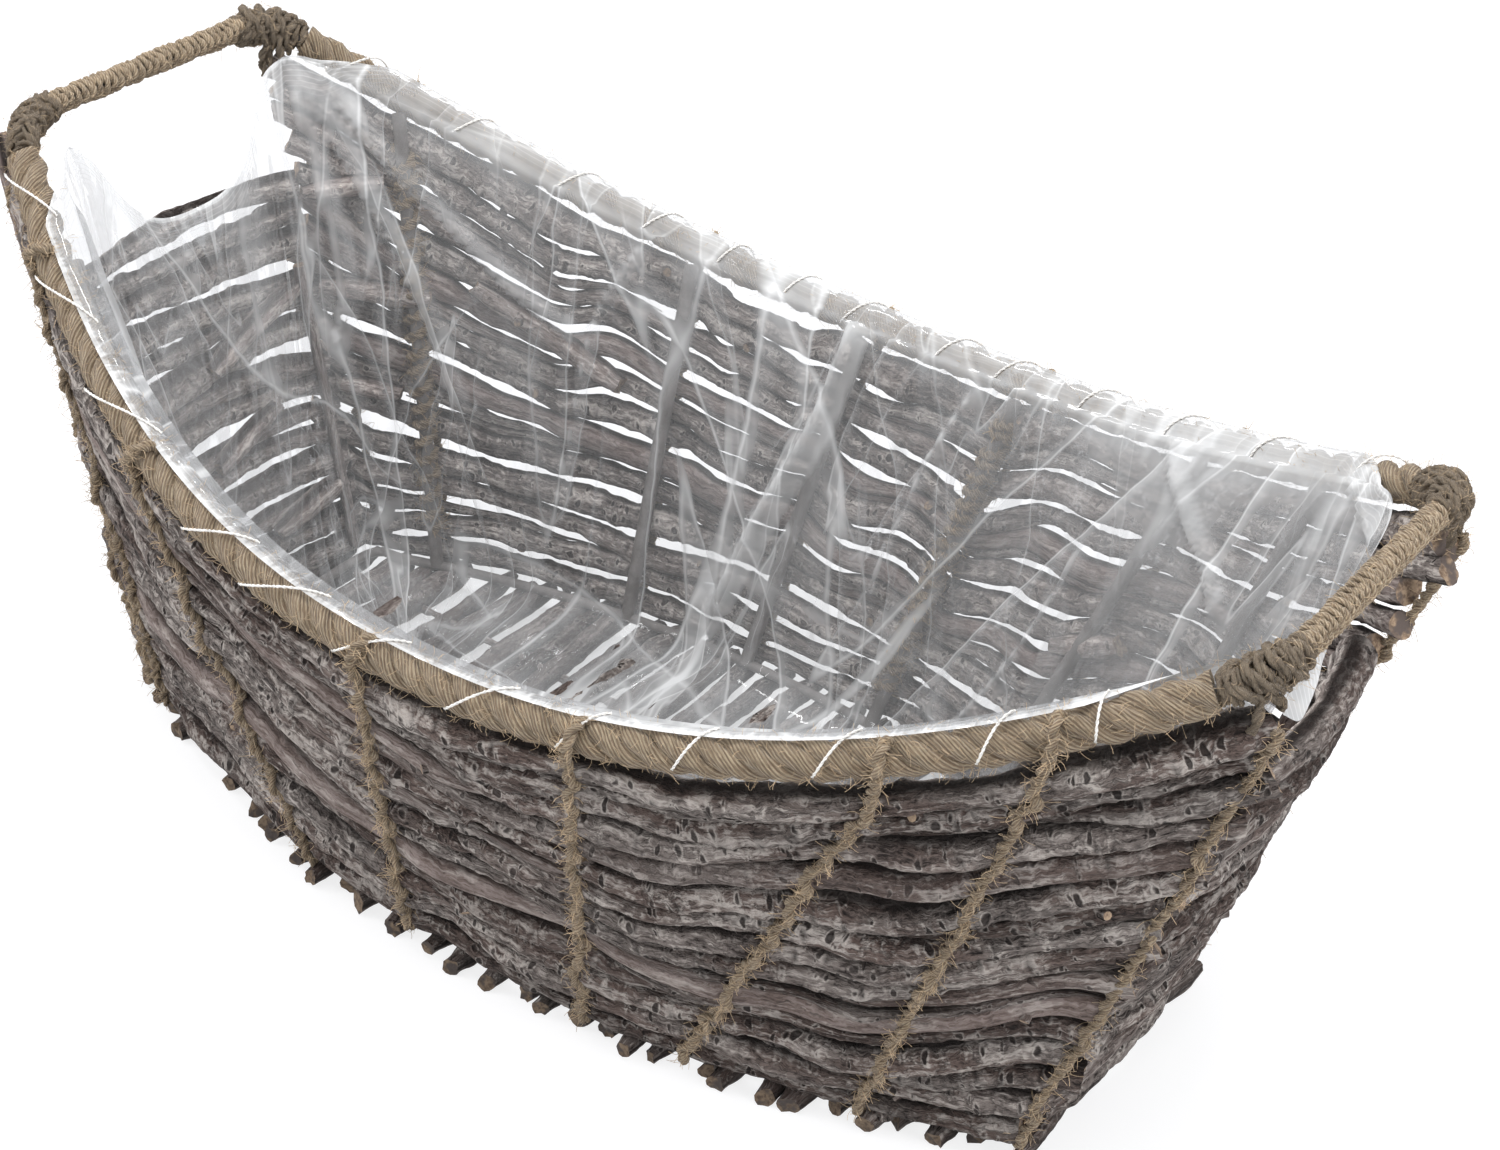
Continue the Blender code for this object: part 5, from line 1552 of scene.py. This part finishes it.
def makeStage():
    made, tree, shader = newMaterial("paleFloor")
    feed(tree, shader.inputs, {"Base Color": (0.80, 0.80, 0.80, 1), "Roughness": 0.9})
    seen = shaderNode(tree, "Emission", {"Color": (1, 1, 1, 1), "Strength": 0.80}).outputs[0]
    soft = shaderNode(tree, "BsdfDiffuse", {"Color": (0.26, 0.26, 0.27, 1)}).outputs[0]
    bright = shaderNode(tree, "AddShader", {0: seen, 1: soft})
    setSurface(tree, mixShader(tree, cameraLike(tree), shader, bright))
    size = stage["size"]
    mesh = bpy.data.meshes.new("floorPlane")
    mesh.from_pydata([(-size, -size, 0), (size, -size, 0), (size, size, 0), (-size, size, 0)], [], [(0, 1, 2, 3)])
    mesh.materials.append(made)
    link(bpy.data.objects.new("studio_floor", mesh))
    world = bpy.data.worlds.new("studio")
    world.use_nodes = True
    bpy.context.scene.world = world
    tree = world.node_tree
    plain = shaderNode(tree, "Background", {"Color": (0.95, 0.97, 1.0, 1), "Strength": 0.60})
    white = shaderNode(tree, "Background", {"Color": (1, 1, 1, 1), "Strength": 1.0})
    seenRay = shaderNode(tree, "LightPath").outputs["Is Camera Ray"]
    setSurface(tree, mixShader(tree, seenRay, plain, white), "OUTPUT_WORLD")


stage = {"size": 6.0, "lampAim": (0, 0, 0.1)}
# name, place, width, height and power
lamps = [
    ("overhead", (0.0, -0.15, 1.5), 1.2, 1.0, 22.0),
    ("frontLeft", (-1.3, -0.9, 0.7), 0.7, 0.8, 14.0),
    ("frontRight", (1.7, -0.10, 0.6), 0.8, 0.8, 13.0),
    ("behind", (-0.6, 1.5, 0.8), 1.4, 0.7, 7.0),
    ("leftStrip", (-0.9, 0.5, 1.2), 0.04, 0.9, 1.1),
    ("middleStrip", (0.1, 0.9, 1.1), 0.9, 0.04, 1.1),
    ("frontStrip", (-0.5, -1.0, 1.1), 0.04, 0.8, 1.1),
]


def makeLamps():
    for name, place, width, height, power in lamps:
        data = bpy.data.lights.new(name, "AREA")
        data.shape, data.size, data.size_y, data.energy = "RECTANGLE", width, height, power
        lamp = link(bpy.data.objects.new(name, data))
        lamp.location = place
        lamp.rotation_euler = (Vector(stage["lampAim"]) - Vector(place)).to_track_quat("-Z", "Y").to_euler()
        lamp.visible_glossy = "Strip" in name  # only the thin lamps show in the film, as streaks


makeCamera()
makeStage()
makeLamps()
bpy.context.scene.view_settings.view_transform = "Standard"
print("camera, floor and light")
